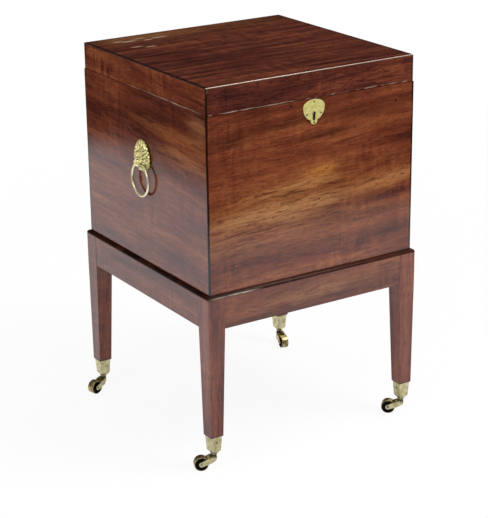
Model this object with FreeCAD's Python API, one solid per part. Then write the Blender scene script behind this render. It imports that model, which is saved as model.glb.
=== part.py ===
import FreeCAD, Part
import math
import os

from FreeCAD import Vector

# A mahogany cellarette: a lidded bottle box with lion mask ring handles, on a stand with
# four tapering legs and brass castors.
# Millimetres. Origin on the floor under the middle of the box, +Z up, front towards -Y,
# left towards -X.

# ---- stand ----
castor_height = 64.0           # floor to the foot of the wooden leg
leg_below_rail = 196.8
leg_top_width = 32.3
leg_foot_width = 24.7
leg_outer_taper = 1.3          # the outer faces lean in this much by the foot
rail_height = 55.5
rail_thickness = 20.0
tenon_setback = 6.0            # outer face of a rail to its tenon
tenon_thickness = 8.0
tenon_shoulder = 7.0           # wood above and below a tenon
tenon_length = 16.0
mortise_end_clearance = 1.0
stand_overhang = 6.2           # stand beyond the box, all round
moulding_edge_height = 2.5
moulding_rise = 3.6            # rounded part, above the edge

# ---- box ----
box_width = 420.0
box_depth = 417.0
box_height = 312.2
box_wall = 12.0
floor_thickness = 9.0
floor_rebate = 6.0
divider_thickness = 5.0
divider_height = 190.0
divider_groove = 3.0
halving_clearance = 0.1
bay_count_across = 3
bay_count_deep = 3

# ---- lid ----
lid_gap = 0.6
lid_height = 46.4
lid_inset = 1.2                # lid inside the box's outline, all round
lid_wall = 12.0
lid_veneer = 1.6
lid_panel_thickness = 8.0
lid_panel_rebate = 5.0

# ---- butt hinges ----
hinge_length = 50.0
hinge_from_end = 80.0          # end of the box to the middle of a hinge
hinge_pin_radius = 1.2
hinge_pin_clearance = 0.05
knuckle_wall = 1.8
knuckle_count = 5
knuckle_gap = 0.2
knuckle_relief = 0.3           # wood and brass clear of a turning knuckle
hinge_axis_out = 1.5           # axis behind the box's rear face
leaf_thickness = 1.5
leaf_edge_margin = 1.5         # leaf to the inner face of the board

# ---- screws ----
screw_radius = 1.2
screw_head_radius = 2.4
screw_head_height = 1.3
hinge_screw_length = 10.0
hinge_screw_pitch = 17.0
lock_screw_length = 10.0

# ---- lock, its link plate and the escutcheon ----
lock_width = 50.0
lock_height = 42.0
lock_depth = 9.0
lock_sheet = 1.0
lock_top_width = 70.0
lock_top_thickness = 1.5
lock_top_screw_x = 30.0
link_plate_width = 56.0
link_plate_thickness = 1.5
link_plate_screw_x = 23.0
staple_x = 11.0
staple_thickness = 2.5
staple_width = 5.0
staple_drop = 11.0             # below the top of the box
staple_eye_depth = 6.5         # eye centre below the top of the box
staple_eye_width = 3.2
staple_eye_height = 4.8
staple_slot_clearance = 0.5
bolt_travel = 6.0
bolt_run_gap = 0.3
bolt_rest_gap = 0.5
bolt_tongue_thickness = 2.4
bolt_tongue_height = 4.0
bolt_riser_width = 3.0
bolt_bar_depth = 13.0          # top of the bar below the top of the box
bolt_bar_height = 5.0
bolt_bar_end = 1.0             # bar beyond the last riser and tongue
bolt_talon_width = 6.0
bolt_talon_height = 3.0
ledge_height = 1.2
keyhole_depth = 25.2           # round of the keyhole below the top of the box
keyhole_radius = 2.8
keyhole_slot_half_width = 2.1
keyhole_slot_drop = 11.3
drill_pin_radius = 1.1
drill_pin_setback = 1.0        # end of the drill pin behind the box's front face
escutcheon_half_width = 21.6
escutcheon_centre_depth = 13.6 # its widest line below the top of the box
escutcheon_crown_height = 12.9 # above the widest line
escutcheon_taper_height = 24.0 # below it, without the lobe
escutcheon_tip_radius = 6.7
escutcheon_tip_depth = 37.2
escutcheon_thickness = 1.4
escutcheon_pin_radius = 0.6
escutcheon_pin_head_radius = 1.1
escutcheon_pin_head_height = 0.5
escutcheon_pin_cover = 0.5     # wood between a pin's point and the lock
escutcheon_pin_places = ((0.0, 5.0), (-14.4, 25.7), (14.4, 25.7), (0.5, 41.0))

# ---- lion mask handles ----
ring_centreline_radius = 28.2
ring_wire_radius = 2.4
ring_clearance = 0.35
ring_standoff = 8.0            # ring's plane from the side of the box
ring_depth = 127.0             # ring's axis below the top of the box
ring_inward_angle = 5.0
ring_outward_angle = 100.0
mask_half_width = 25.5
mask_half_height = 29.0
mask_centre_rise = 14.75       # middle of the mask above the ring's axis
mask_rim = 4.0
mane_depth = 15.0
mane_margin = 2.5
muzzle_depth = 19.5
muzzle_half_width = 9.0
muzzle_half_height = 11.0
muzzle_rise = 5.0
jaw_half_width = 7.0
jaw_half_height = 8.0
jaw_drop = 6.5
jaw_depth = 14.0
stud_radius = 3.0
stud_rise = 8.0                # stud above the ring's axis
stud_spare = 2.0               # stud through the nut
nut_thickness = 4.0
nut_radius = 6.0

# ---- castors ----
wheel_radius = 12.7
wheel_width = 13.0
wheel_hub_radius = 4.6
wheel_rim_thickness = 2.2
wheel_dish = 2.4
wheel_side_gap = 0.35
wheel_rim_gap = 1.2
castor_trail = 22.7            # swivel axis to axle
axle_radius = 1.5
axle_clearance = 0.05
axle_head_radius = 2.4
axle_head_height = 0.8
fork_arm_thickness = 2.2
fork_hub_radius = 4.4
fork_crown_radius = 5.4
fork_crown_height = 21.5       # above the floor
fork_crown_reach = 6.0         # solid part of the crown, along the trail
fork_neck_radius = 4.2
fork_shoulder_reach = 9.0      # swivel axis to where the fork has its full width
collar_radius = 5.8
collar_height = 2.0
collar_gap = 0.3
stem_radius = 3.0
stem_clearance = 0.05
stem_head_radius = 4.4
stem_head_height = 1.5
stem_end_play = 0.1
cup_height = 33.0
cup_top_width = 21.4
cup_foot_width = 17.8
cup_nose_width = 10.0
cup_nose_height = 5.0
cup_wall = 1.5
cup_floor = 5.0
spigot_room = 4.0              # stem head to the end of the leg's spigot
cup_screw_depth = 10.0
cup_screw_length = 9.0

# ---- heights and half sizes worked out from the sizes above ----
rail_bottom = castor_height + leg_below_rail
stand_top = rail_bottom + rail_height
box_top = stand_top + box_height
lid_bottom = box_top + lid_gap
lid_top = lid_bottom + lid_height
hinge_axis_z = box_top + lid_gap / 2
half_width = box_width / 2
half_depth = box_depth / 2
stand_half_width = half_width + stand_overhang
stand_half_depth = half_depth + stand_overhang
leg_foot_centre = leg_outer_taper + leg_foot_width / 2
pintle_x = stand_half_width - leg_foot_centre
pintle_y = stand_half_depth - leg_foot_centre
front_inner_face = -half_depth + box_wall
knuckle_radius = hinge_pin_radius + knuckle_wall
hinge_axis_y = half_depth + hinge_axis_out

# Each side of the object: its turn from the front about Z.
TURN = {"front": 0.0, "right": 90.0, "rear": 180.0, "left": 270.0}
# Each corner: how a front left leg is mirrored onto it, the way its wheel trails in
# degrees from +X, and the face of its cup that takes the screw.
CORNERS = {
    "front_left": {"mirror": (), "trail": 156.6, "screw": "front"},
    "front_right": {"mirror": ("x",), "trail": 137.8, "screw": "left"},
    "rear_left": {"mirror": ("y",), "trail": 195.5, "screw": "rear"},
    "rear_right": {"mirror": ("x", "y"), "trail": 257.2, "screw": "left"},
}
MIRROR_NORMAL = {"x": Vector(1, 0, 0), "y": Vector(0, 1, 0)}
UP = Vector(0, 0, 1)
ALONG_X = Vector(1, 0, 0)
ALONG_Y = Vector(0, 1, 0)


# ---- small helpers ----
def box_between(low, high):
    """A block from its lowest to its highest corner."""
    size = [b - a for a, b in zip(low, high)]
    return Part.makeBox(size[0], size[1], size[2], Vector(*low))


def turned(shape, degrees, place=Vector(0, 0, 0)):
    """A copy turned about the vertical through the origin, then moved to place."""
    copy = shape.copy()
    copy.rotate(Vector(0, 0, 0), UP, degrees)
    copy.translate(place)
    return copy


def mirrored(shape, letters):
    """A copy mirrored in the planes through the origin that the letters name."""
    for letter in letters:
        shape = shape.mirror(Vector(0, 0, 0), MIRROR_NORMAL[letter])
    return shape


def prism(points, direction):
    """A flat outline of straight edges, carried along direction."""
    return Part.Face(Part.makePolygon(points + points[:1])).extrude(direction)


def square_loft(low, high, low_square, high_square):
    """A tapering block between two squares, each given as (nearest, farthest) in X and Y."""
    wires = []
    for height, (near, far) in ((low, low_square), (high, high_square)):
        corners = ((near, near), (far, near), (far, far), (near, far), (near, near))
        wires.append(Part.makePolygon([Vector(x, y, height) for x, y in corners]))
    return Part.makeLoft(wires, True, True)


def middle_square(width):
    """A square about the origin, as square_loft takes it."""
    return (-width / 2, width / 2)


def screw(head_centre, into, length):
    """A countersunk screw whose flat head lies at head_centre and whose shank runs along into."""
    head = Part.makeCone(screw_head_radius, screw_radius, screw_head_height, head_centre, into)
    shank = Part.makeCylinder(screw_radius, length, head_centre, into)
    return head.fuse(shank).removeSplitter()


def ellipsoid(centre, half_x, half_y, half_z):
    """A ball stretched to its three half sizes about centre."""
    stretch = FreeCAD.Matrix()
    stretch.scale(half_x, half_y, half_z)
    ball = Part.makeSphere(1.0).transformGeometry(stretch)
    ball.translate(centre)
    return ball


def mitred_board(half_span, reach, wall, low, high):
    """One front board of a box, mitred at both ends: its outer face at y = -reach."""
    inner = -reach + wall
    outline = [
        Vector(-half_span, -reach, low),
        Vector(half_span, -reach, low),
        Vector(half_span - wall, inner, low),
        Vector(-half_span + wall, inner, low),
    ]
    return prism(outline, Vector(0, 0, high - low))


def spans(side, across, deep):
    """Half span and reach of a side, from the half sizes across and deep."""
    if side in ("front", "rear"):
        return across, deep
    return deep, across


# ---- stand ----
def tenon(length):
    """The tenon on the right end of a front rail whose shoulder is at x = 0."""
    outer = tenon_setback
    return box_between(
        (0, outer, rail_bottom + tenon_shoulder),
        (length, outer + tenon_thickness, stand_top - tenon_shoulder),
    )


def leg_mortises():
    """The two mortises of a leg, its outer corner at the origin and its body along +X and +Y."""
    depth = tenon_length + mortise_end_clearance
    from_x = tenon(depth)
    from_x.translate(Vector(leg_top_width - depth, 0, 0))
    across = FreeCAD.Matrix(0, 1, 0, 0, 1, 0, 0, 0, 0, 0, 1, 0)
    from_y = from_x.transformGeometry(across)
    return from_x, from_y


def leg(corner):
    """A square leg that tapers below the rails, with mortises and a spigot for its castor."""
    block = box_between((0, 0, rail_bottom), (leg_top_width, leg_top_width, stand_top))
    foot = (leg_outer_taper, leg_outer_taper + leg_foot_width)
    taper = square_loft(castor_height, rail_bottom, foot, (0, leg_top_width))
    body = block.fuse(taper)
    for mortise in leg_mortises():
        body = body.cut(mortise)
    spigot = spigot_block()
    spigot.translate(Vector(leg_foot_centre, leg_foot_centre, 0))
    body = body.fuse(spigot).removeSplitter()
    body.translate(Vector(-stand_half_width, -stand_half_depth, 0))
    return mirrored(body, CORNERS[corner]["mirror"]).cut(cup_screw(corner))


def rail(side):
    """A rail between two legs, with a tenon at each end."""
    half_span, reach = spans(side, stand_half_width, stand_half_depth)
    shoulder = half_span - leg_top_width
    board = box_between((-shoulder, 0, rail_bottom), (shoulder, rail_thickness, stand_top))
    right_tenon = tenon(tenon_length)
    right_tenon.translate(Vector(shoulder, 0, 0))
    board = board.fuse([right_tenon, mirrored(right_tenon, "x")]).removeSplitter()
    board.translate(Vector(0, -reach, 0))
    return turned(board, TURN[side])


def moulding(side):
    """One mitred length of the moulding that holds the foot of the box: a quarter round."""
    half_span, reach = spans(side, stand_half_width, stand_half_depth)
    outer = -reach
    inner = -reach + stand_overhang
    edge_top = stand_top + moulding_edge_height
    top = edge_top + moulding_rise
    slope = math.sqrt(0.5)
    x = -half_span
    foot = Vector(x, outer, stand_top)
    edge = Vector(x, outer, edge_top)
    crown = Vector(x, inner, top)
    back = Vector(x, inner, stand_top)
    bulge = Vector(x, inner - stand_overhang * slope, edge_top + moulding_rise * slope)
    edges = [
        Part.makeLine(foot, edge),
        Part.Arc(edge, bulge, crown).toShape(),
        Part.makeLine(crown, back),
        Part.makeLine(back, foot),
    ]
    length = Part.Face(Part.Wire(edges)).extrude(Vector(2 * half_span, 0, 0))
    mitre = mitred_board(half_span, reach, stand_overhang, stand_top, top)
    return turned(length.common(mitre), TURN[side])


# ---- box ----
def divider_places(count, inner_span):
    """Middles of the dividers that part inner_span into count equal bays."""
    bay = (inner_span - (count - 1) * divider_thickness) / count
    pitch = bay + divider_thickness
    return [(i + 1 - count / 2) * pitch for i in range(count - 1)]


floor_top = stand_top + floor_thickness
divider_top = floor_top + divider_height
divider_x = divider_places(bay_count_across, box_width - 2 * box_wall)
divider_y = divider_places(bay_count_deep, box_depth - 2 * box_wall)


def groove_cuts(places, reach):
    """Grooves for the dividers' ends in the inner face of a front board."""
    inner = -reach + box_wall
    half = divider_thickness / 2
    return [
        box_between((x - half, inner - divider_groove, floor_top), (x + half, inner, divider_top))
        for x in places
    ]


def box_board(side):
    """A side of the box, with a rebate for the floor and grooves for the dividers."""
    half_span, reach = spans(side, half_width, half_depth)
    board = mitred_board(half_span, reach, box_wall, stand_top, box_top)
    inner = -reach + box_wall
    rebate = box_between(
        (-half_span, inner - floor_rebate, stand_top),
        (half_span, inner, floor_top),
    )
    places = divider_x if side in ("front", "rear") else divider_y
    board = board.cut([rebate] + groove_cuts(places, reach))
    return turned(board, TURN[side])


def box_front():
    """The front board, with the pocket of the lock, the keyhole and the pin holes."""
    cuts = [lock_outline(), keyhole_cut()] + lock_screws() + escutcheon_pins()
    return box_board("front").cut(cuts)


def box_rear():
    """The rear board, let in for the hinges."""
    board = box_board("rear")
    return board.cut(hinge_recesses(box_leaf_outline) + box_hinge_screws())


def box_side(side):
    """A side board, bored for the stud of its mask."""
    return box_board(side).cut(handle_placed(mask_stud(), side))


def box_floor():
    """The floor, in the rebates of the four boards."""
    inset = box_wall - floor_rebate
    x = half_width - inset
    y = half_depth - inset
    return box_between((-x, -y, stand_top), (x, y, floor_top))


def divider(places, crossing, half_span, slot_low, slot_high):
    """Dividers along X at each y in places, halved where the crossing dividers pass."""
    half = divider_thickness / 2
    slot_half = half + halving_clearance
    boards = []
    for y in places:
        board = box_between(
            (-half_span, y - half, floor_top),
            (half_span, y + half, divider_top),
        )
        for x in crossing:
            slot = box_between(
                (x - slot_half, y - divider_thickness, slot_low),
                (x + slot_half, y + divider_thickness, slot_high),
            )
            board = board.cut(slot)
        boards.append(board)
    return boards


def dividers():
    """Two dividers each way, halved into each other like an egg crate."""
    middle = (floor_top + divider_top) / 2
    across_span = half_width - box_wall + divider_groove
    deep_span = half_depth - box_wall + divider_groove
    across = divider(divider_y, divider_x, across_span, middle, divider_top)
    turned_places = [-x for x in divider_x]
    deep = [turned(b, 90) for b in divider(turned_places, divider_y, deep_span, floor_top, middle)]
    named = {f"divider_across_{i + 1}": board for i, board in enumerate(across)}
    named.update({f"divider_deep_{i + 1}": board for i, board in enumerate(deep)})
    return named


# ---- lid ----
def lid_board(side):
    """A mitred edge board of the lid, rebated for the panel."""
    across = half_width - lid_inset
    deep = half_depth - lid_inset
    half_span, reach = spans(side, across, deep)
    board_top = lid_top - lid_veneer
    board = mitred_board(half_span, reach, lid_wall, lid_bottom, board_top)
    inner = -reach + lid_wall
    rebate = box_between(
        (-half_span, inner - lid_panel_rebate, board_top - lid_panel_thickness),
        (half_span, inner, board_top),
    )
    return turned(board.cut(rebate), TURN[side])


def lid_panel():
    """The panel of the lid, in the rebates of its edge boards."""
    inset = lid_inset + lid_wall - lid_panel_rebate
    x = half_width - inset
    y = half_depth - inset
    top = lid_top - lid_veneer
    return box_between((-x, -y, top - lid_panel_thickness), (x, y, top))


def lid_top_veneer():
    """The thick veneer that covers the panel and the edge boards."""
    x = half_width - lid_inset
    y = half_depth - lid_inset
    return box_between((-x, -y, lid_top - lid_veneer), (x, y, lid_top))


def lid_front():
    """The lid's front board, let in for the link plate."""
    return lid_board("front").cut([link_plate_outline()] + link_plate_screws())


def lid_rear():
    """The lid's rear board, let in for the hinges."""
    return lid_board("rear").cut(hinge_recesses(lid_leaf_outline) + lid_hinge_screws())


# ---- hinges ----
hinge_places = (hinge_from_end - half_width, half_width - hinge_from_end)


def leaf_block(z_low, z_high, inner_face, x):
    """The flat of a leaf, from near the board's inner face out to the hinge's axis."""
    half = hinge_length / 2
    return box_between(
        (x - half, inner_face + leaf_edge_margin, z_low),
        (x + half, hinge_axis_y, z_high),
    )


def box_leaf_outline(x):
    """The flat of the leaf on the box."""
    inner_face = half_depth - box_wall
    return leaf_block(box_top - leaf_thickness, box_top, inner_face, x)


def lid_leaf_outline(x):
    """The flat of the leaf on the lid."""
    inner_face = half_depth - lid_inset - lid_wall
    return leaf_block(lid_bottom, lid_bottom + leaf_thickness, inner_face, x)


def axis_cylinder(radius, x_low, x_high):
    """A cylinder about the hinges' axis."""
    return Part.makeCylinder(radius, x_high - x_low, Vector(x_low, hinge_axis_y, hinge_axis_z), ALONG_X)


def hinge_recesses(outline):
    """Wood cut away for both hinges: a leaf's outline and the round of the knuckles."""
    cuts = []
    for x in hinge_places:
        half = hinge_length / 2 + knuckle_relief
        cuts.append(outline(x))
        cuts.append(axis_cylinder(knuckle_radius + knuckle_relief, x - half, x + half))
    return cuts


def knuckles(x, of_lid):
    """X ranges of the knuckles of one leaf, and of the other leaf's."""
    pitch = hinge_length / knuckle_count
    own, other = [], []
    for i in range(knuckle_count):
        low = x - hinge_length / 2 + i * pitch
        (own if (i % 2 == 1) == of_lid else other).append((low, low + pitch))
    return own, other


def hinge_leaf(x, outline, screws, of_lid, bore_radius):
    """A leaf with its knuckles, cleared for the other leaf's knuckles and bored for the pin."""
    own, other = knuckles(x, of_lid)
    leaf = outline(x)
    for low, high in other:
        leaf = leaf.cut(axis_cylinder(knuckle_radius + knuckle_relief, low, high))
    half_gap = knuckle_gap / 2
    barrels = [axis_cylinder(knuckle_radius, low + half_gap, high - half_gap) for low, high in own]
    leaf = leaf.fuse(barrels)
    half = hinge_length / 2
    bore = axis_cylinder(bore_radius, x - half, x + half)
    other_room = [axis_cylinder(knuckle_radius, low - half_gap, high + half_gap) for low, high in other]
    return leaf.cut([bore] + other_room + screws).removeSplitter()


def box_leaf(x):
    """The hinge leaf on the box, which holds the pin tight."""
    return hinge_leaf(x, box_leaf_outline, box_hinge_screws(), False, hinge_pin_radius)


def lid_leaf(x):
    """The hinge leaf on the lid, which turns on the pin."""
    bore = hinge_pin_radius + hinge_pin_clearance
    return hinge_leaf(x, lid_leaf_outline, lid_hinge_screws(), True, bore)


def hinge_pins():
    """The pins of both hinges."""
    half = hinge_length / 2
    return [axis_cylinder(hinge_pin_radius, x - half, x + half) for x in hinge_places]


def hinge_screws(head_z, into, inner_face):
    """Three screws through each leaf, along its middle."""
    y = (inner_face + leaf_edge_margin + hinge_axis_y - knuckle_radius) / 2
    return [
        screw(Vector(x + i * hinge_screw_pitch, y, head_z), into, hinge_screw_length)
        for x in hinge_places
        for i in (-1, 0, 1)
    ]


def box_hinge_screws():
    """The screws of the leaves on the box."""
    return hinge_screws(box_top, -UP, half_depth - box_wall)


def lid_hinge_screws():
    """The screws of the leaves on the lid."""
    return hinge_screws(lid_bottom, UP, half_depth - lid_inset - lid_wall)


# ---- lock ----
lock_front = front_inner_face - lock_depth
lock_middle_y = front_inner_face - lock_depth / 2
lock_foot = box_top - lock_height
lock_ceiling = box_top - lock_top_thickness
cavity_front = lock_front + lock_sheet
cavity_back = front_inner_face - lock_sheet


def lock_box():
    """The block that the lock fills below its top plate."""
    half = lock_width / 2
    return box_between((-half, lock_front, lock_foot), (half, front_inner_face, lock_ceiling))


def lock_top_plate():
    """The plate on the edge of the box."""
    half = lock_top_width / 2
    return box_between((-half, lock_front, lock_ceiling), (half, front_inner_face, box_top))


def lock_outline():
    """The whole lock, as it is let into the front board."""
    return lock_box().fuse(lock_top_plate())


def lock_screws():
    """The two screws through the lock's top plate."""
    places = (-lock_top_screw_x, lock_top_screw_x)
    return [screw(Vector(x, lock_middle_y, box_top), -UP, lock_screw_length) for x in places]


def keyhole_cut():
    """The keyhole, from in front of the escutcheon to the hollow of the lock."""
    y = -half_depth - 2 * escutcheon_thickness
    depth = cavity_front - y
    z = box_top - keyhole_depth
    round_part = Part.makeCylinder(keyhole_radius, depth, Vector(0, y, z), ALONG_Y)
    slot = box_between(
        (-keyhole_slot_half_width, y, z - keyhole_slot_drop),
        (keyhole_slot_half_width, cavity_front, z),
    )
    return round_part.fuse(slot)


def staple_slots():
    """The slots in the top plate that the staples drop through."""
    half_x = staple_thickness / 2 + staple_slot_clearance
    half_y = staple_width / 2 + staple_slot_clearance
    return [
        box_between(
            (x - half_x, lock_middle_y - half_y, lock_ceiling),
            (x + half_x, lock_middle_y + half_y, box_top),
        )
        for x in (-staple_x, staple_x)
    ]


def bolt_ledge():
    """The ledge behind the lock's front that carries the bolt."""
    half = lock_width / 2 - lock_sheet
    top = box_top - bolt_bar_depth - bolt_bar_height - bolt_run_gap
    return box_between((-half, cavity_front, top - ledge_height), (half, lock_middle_y, top))


def lock_case():
    """The lock's case: front, ends, foot and top plate, open at the back."""
    half = lock_width / 2 - lock_sheet
    hollow = box_between(
        (-half, cavity_front, lock_foot + lock_sheet),
        (half, front_inner_face, lock_ceiling),
    )
    shell = lock_outline().cut([hollow, keyhole_cut()] + staple_slots() + lock_screws())
    return shell.fuse(bolt_ledge()).removeSplitter()


def lock_back():
    """The lock's back plate, with the drill pin that the key's barrel slides on."""
    half = lock_width / 2 - lock_sheet
    plate = box_between(
        (-half, cavity_back, lock_foot + lock_sheet),
        (half, front_inner_face, lock_ceiling),
    )
    start = -half_depth + drill_pin_setback
    place = Vector(0, start, box_top - keyhole_depth)
    return plate.fuse(Part.makeCylinder(drill_pin_radius, cavity_back - start, place, ALONG_Y))


def lock_bolt():
    """The sliding bolt: a bar with two hooked tongues that enter the staples, and a talon."""
    tongue_length = bolt_travel + bolt_run_gap
    half = bolt_tongue_thickness / 2
    eye_z = box_top - staple_eye_depth
    bar_top = box_top - bolt_bar_depth
    tips = [x - staple_thickness / 2 - bolt_rest_gap for x in (-staple_x, staple_x)]
    hooks = []
    for tip in tips:
        heel = tip - tongue_length
        hooks.append(box_between(
            (heel - bolt_riser_width, lock_middle_y - half, eye_z - bolt_tongue_height / 2),
            (tip, lock_middle_y + half, eye_z + bolt_tongue_height / 2),
        ))
        hooks.append(box_between(
            (heel - bolt_riser_width, lock_middle_y - half, bar_top),
            (heel, lock_middle_y + half, eye_z),
        ))
    low_x = tips[0] - tongue_length - bolt_riser_width - bolt_bar_end
    bar = box_between(
        (low_x, cavity_front + bolt_run_gap, bar_top - bolt_bar_height),
        (tips[1] + bolt_bar_end, cavity_back - bolt_run_gap, bar_top),
    )
    talon = box_between(
        (-bolt_talon_width, lock_middle_y + bolt_run_gap, bar_top - bolt_bar_height - bolt_talon_height),
        (0, cavity_back - bolt_run_gap, bar_top - bolt_bar_height),
    )
    return bar.fuse(hooks + [talon]).removeSplitter()


def link_plate_outline():
    """The plate let into the lid's front board, over the lock."""
    half = link_plate_width / 2
    return box_between(
        (-half, lock_front, lid_bottom),
        (half, front_inner_face, lid_bottom + link_plate_thickness),
    )


def link_plate_screws():
    """The two screws that hold the link plate up to the lid."""
    places = (-link_plate_screw_x, link_plate_screw_x)
    return [screw(Vector(x, lock_middle_y, lid_bottom), UP, lock_screw_length) for x in places]


def link_plate():
    """The link plate with its two staples, whose eyes take the bolt."""
    plate = link_plate_outline().cut(link_plate_screws())
    eye_z = box_top - staple_eye_depth
    for x in (-staple_x, staple_x):
        low = (x - staple_thickness / 2, lock_middle_y - staple_width / 2, box_top - staple_drop)
        high = (x + staple_thickness / 2, lock_middle_y + staple_width / 2, lid_bottom)
        eye = box_between(
            (low[0], lock_middle_y - staple_eye_width / 2, eye_z - staple_eye_height / 2),
            (high[0], lock_middle_y + staple_eye_width / 2, eye_z + staple_eye_height / 2),
        )
        plate = plate.fuse(box_between(low, high).cut(eye))
    return plate.removeSplitter()


# ---- escutcheon ----
def escutcheon():
    """A brass plate, domed above and tapering to a lobe at its foot, with a keyhole and pin holes."""
    middle = Vector(0, 0, 0)
    widest = Vector(escutcheon_half_width, 0, 0)
    crown = Part.Ellipse(middle, escutcheon_half_width, escutcheon_crown_height)
    taper = Part.Ellipse(Vector(0, -escutcheon_taper_height, 0), widest, middle)
    above = Part.ArcOfEllipse(crown, 0, math.pi).toShape()
    below = Part.ArcOfEllipse(taper, -math.pi / 2, math.pi / 2).toShape()
    outline = Part.Wire([above, below])
    body = Part.Face(outline).extrude(Vector(0, 0, escutcheon_thickness))
    body.rotate(middle, ALONG_X, 90)
    body.translate(Vector(0, -half_depth, box_top - escutcheon_centre_depth))
    lobe = Part.makeCylinder(
        escutcheon_tip_radius,
        escutcheon_thickness,
        Vector(0, -half_depth, box_top - escutcheon_tip_depth),
        -ALONG_Y,
    )
    plate = body.fuse(lobe).removeSplitter()
    return plate.cut([keyhole_cut()] + escutcheon_pins())


def escutcheon_pins():
    """Four round-headed pins through the escutcheon."""
    face = -half_depth - escutcheon_thickness
    length = lock_front - escutcheon_pin_cover - face
    pins = []
    for x, depth in escutcheon_pin_places:
        place = Vector(x, face, box_top - depth)
        shank = Part.makeCylinder(escutcheon_pin_radius, length, place, ALONG_Y)
        narrow = escutcheon_pin_radius
        head = Part.makeCone(escutcheon_pin_head_radius, narrow, escutcheon_pin_head_height, place, -ALONG_Y)
        pins.append(shank.fuse(head).removeSplitter())
    return pins


# ---- handles, built with the ring's axis along Y through the origin and +X outwards ----
def handle_placed(shape, side):
    """A handle's shape moved onto the left or right side of the box."""
    outward = Vector(half_width + ring_standoff, 0, box_top - ring_depth)
    moved = shape.copy()
    moved.translate(outward)
    return moved if side == "right" else turned(moved, 180)


def ring():
    """The ring, hanging from its axis."""
    centre = Vector(0, 0, -ring_centreline_radius)
    return Part.makeTorus(ring_centreline_radius, ring_wire_radius, centre, ALONG_X)


def ring_swing():
    """The solids that hold all the room the ring takes as it swings, with its clearance."""
    room = ring_wire_radius + ring_clearance
    centre = Vector(0, 0, -ring_centreline_radius)
    discs = []
    for radius in (ring_centreline_radius + room, ring_centreline_radius - room):
        discs.append(Part.Face(Part.Wire(Part.makeCircle(radius, centre, ALONG_X))))
    reach = 2 * (ring_centreline_radius + room)
    lower_half = box_between((-room, -reach, -reach), (room, reach, 0))
    band = discs[0].cut(discs[1]).common(lower_half)
    band.rotate(Vector(0, 0, 0), ALONG_Y, ring_inward_angle)
    sweep = band.revolve(Vector(0, 0, 0), -ALONG_Y, ring_inward_angle + ring_outward_angle)
    ends = []
    for angle in (ring_inward_angle, -ring_outward_angle):
        torus = Part.makeTorus(ring_centreline_radius, room, centre, ALONG_X)
        torus.rotate(Vector(0, 0, 0), ALONG_Y, angle)
        ends.append(torus)
    bore = Part.makeCylinder(room, 2 * mask_half_width, Vector(0, -mask_half_width, 0), ALONG_Y)
    return [bore, sweep] + ends


def mask_stud():
    """The threaded stud behind a mask, through the side of the box and its nut."""
    length = box_wall + nut_thickness + stud_spare
    place = Vector(-ring_standoff - length, 0, stud_rise)
    return Part.makeCylinder(stud_radius, length, place, ALONG_X)


def lion_mask():
    """A lion's mask: an oval rim, a domed mane, a muzzle and a jaw, with the mouth cut for the ring."""
    back = -ring_standoff
    rim_wire = Part.Ellipse(Vector(0, 0, 0), mask_half_height, mask_half_width).toShape()
    rim = Part.Face(Part.Wire(rim_wire)).extrude(Vector(0, 0, mask_rim))
    rim.rotate(Vector(0, 0, 0), ALONG_Y, 90)
    rim.translate(Vector(back, 0, mask_centre_rise))
    mane = ellipsoid(
        Vector(back, 0, mask_centre_rise),
        mane_depth,
        mask_half_width - mane_margin,
        mask_half_height - mane_margin,
    )
    muzzle = ellipsoid(Vector(back, 0, muzzle_rise), muzzle_depth, muzzle_half_width, muzzle_half_height)
    jaw = ellipsoid(Vector(back, 0, -jaw_drop), jaw_depth, jaw_half_width, jaw_half_height)
    head = mane.fuse([muzzle, jaw])
    reach = 2 * mask_half_height
    outside = box_between((back, -reach, -reach), (back + reach, reach, 2 * reach))
    head = head.common(outside).fuse(rim)
    for room in ring_swing():
        head = head.cut(room)
    return head.fuse(mask_stud())


def handle_nut():
    """The hexagonal nut on a mask's stud, inside the box."""
    middle = Vector(-ring_standoff - box_wall, 0, stud_rise)
    corners = []
    for degrees in range(0, 360, 60):
        turn = math.radians(degrees)
        corners.append(middle.add(Vector(0, nut_radius * math.cos(turn), nut_radius * math.sin(turn))))
    return prism(corners, Vector(-nut_thickness, 0, 0)).cut(mask_stud())


# ---- castors, built with the swivel axis on Z through the origin and the trail along +X ----
cup_foot = castor_height - cup_height
cup_inner_floor = cup_foot + cup_floor
stem_head_top = cup_inner_floor + stem_end_play + stem_head_height
spigot_end = stem_head_top + spigot_room
fork_half_width = wheel_width / 2 + wheel_side_gap + fork_arm_thickness
cup_body_foot = cup_foot + cup_nose_height


def cup_width(height):
    """Outer width of the cup's tapering part at a height."""
    share = (height - cup_body_foot) / (castor_height - cup_body_foot)
    return cup_foot_width + share * (cup_top_width - cup_foot_width)


def socket(low):
    """The room inside a cup, from low up to its mouth."""
    return square_loft(
        low,
        castor_height,
        middle_square(cup_width(low) - 2 * cup_wall),
        middle_square(cup_top_width - 2 * cup_wall),
    )


def spigot_block():
    """The leg's spigot, which fills the upper part of the cup."""
    return socket(spigot_end)


def cup_screw(corner):
    """The screw through the side of a cup into the leg's spigot, in place."""
    middle = castor_height - cup_screw_depth
    face = Vector(0, -cup_width(middle) / 2, middle)
    inward = screw(face, ALONG_Y, cup_screw_length)
    return turned(inward, TURN[CORNERS[corner]["screw"]], pintle(corner))


def pintle(corner):
    """Where a corner's swivel axis meets the floor."""
    x = pintle_x if "right" in corner else -pintle_x
    y = pintle_y if "rear" in corner else -pintle_y
    return Vector(x, y, 0)


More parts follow.
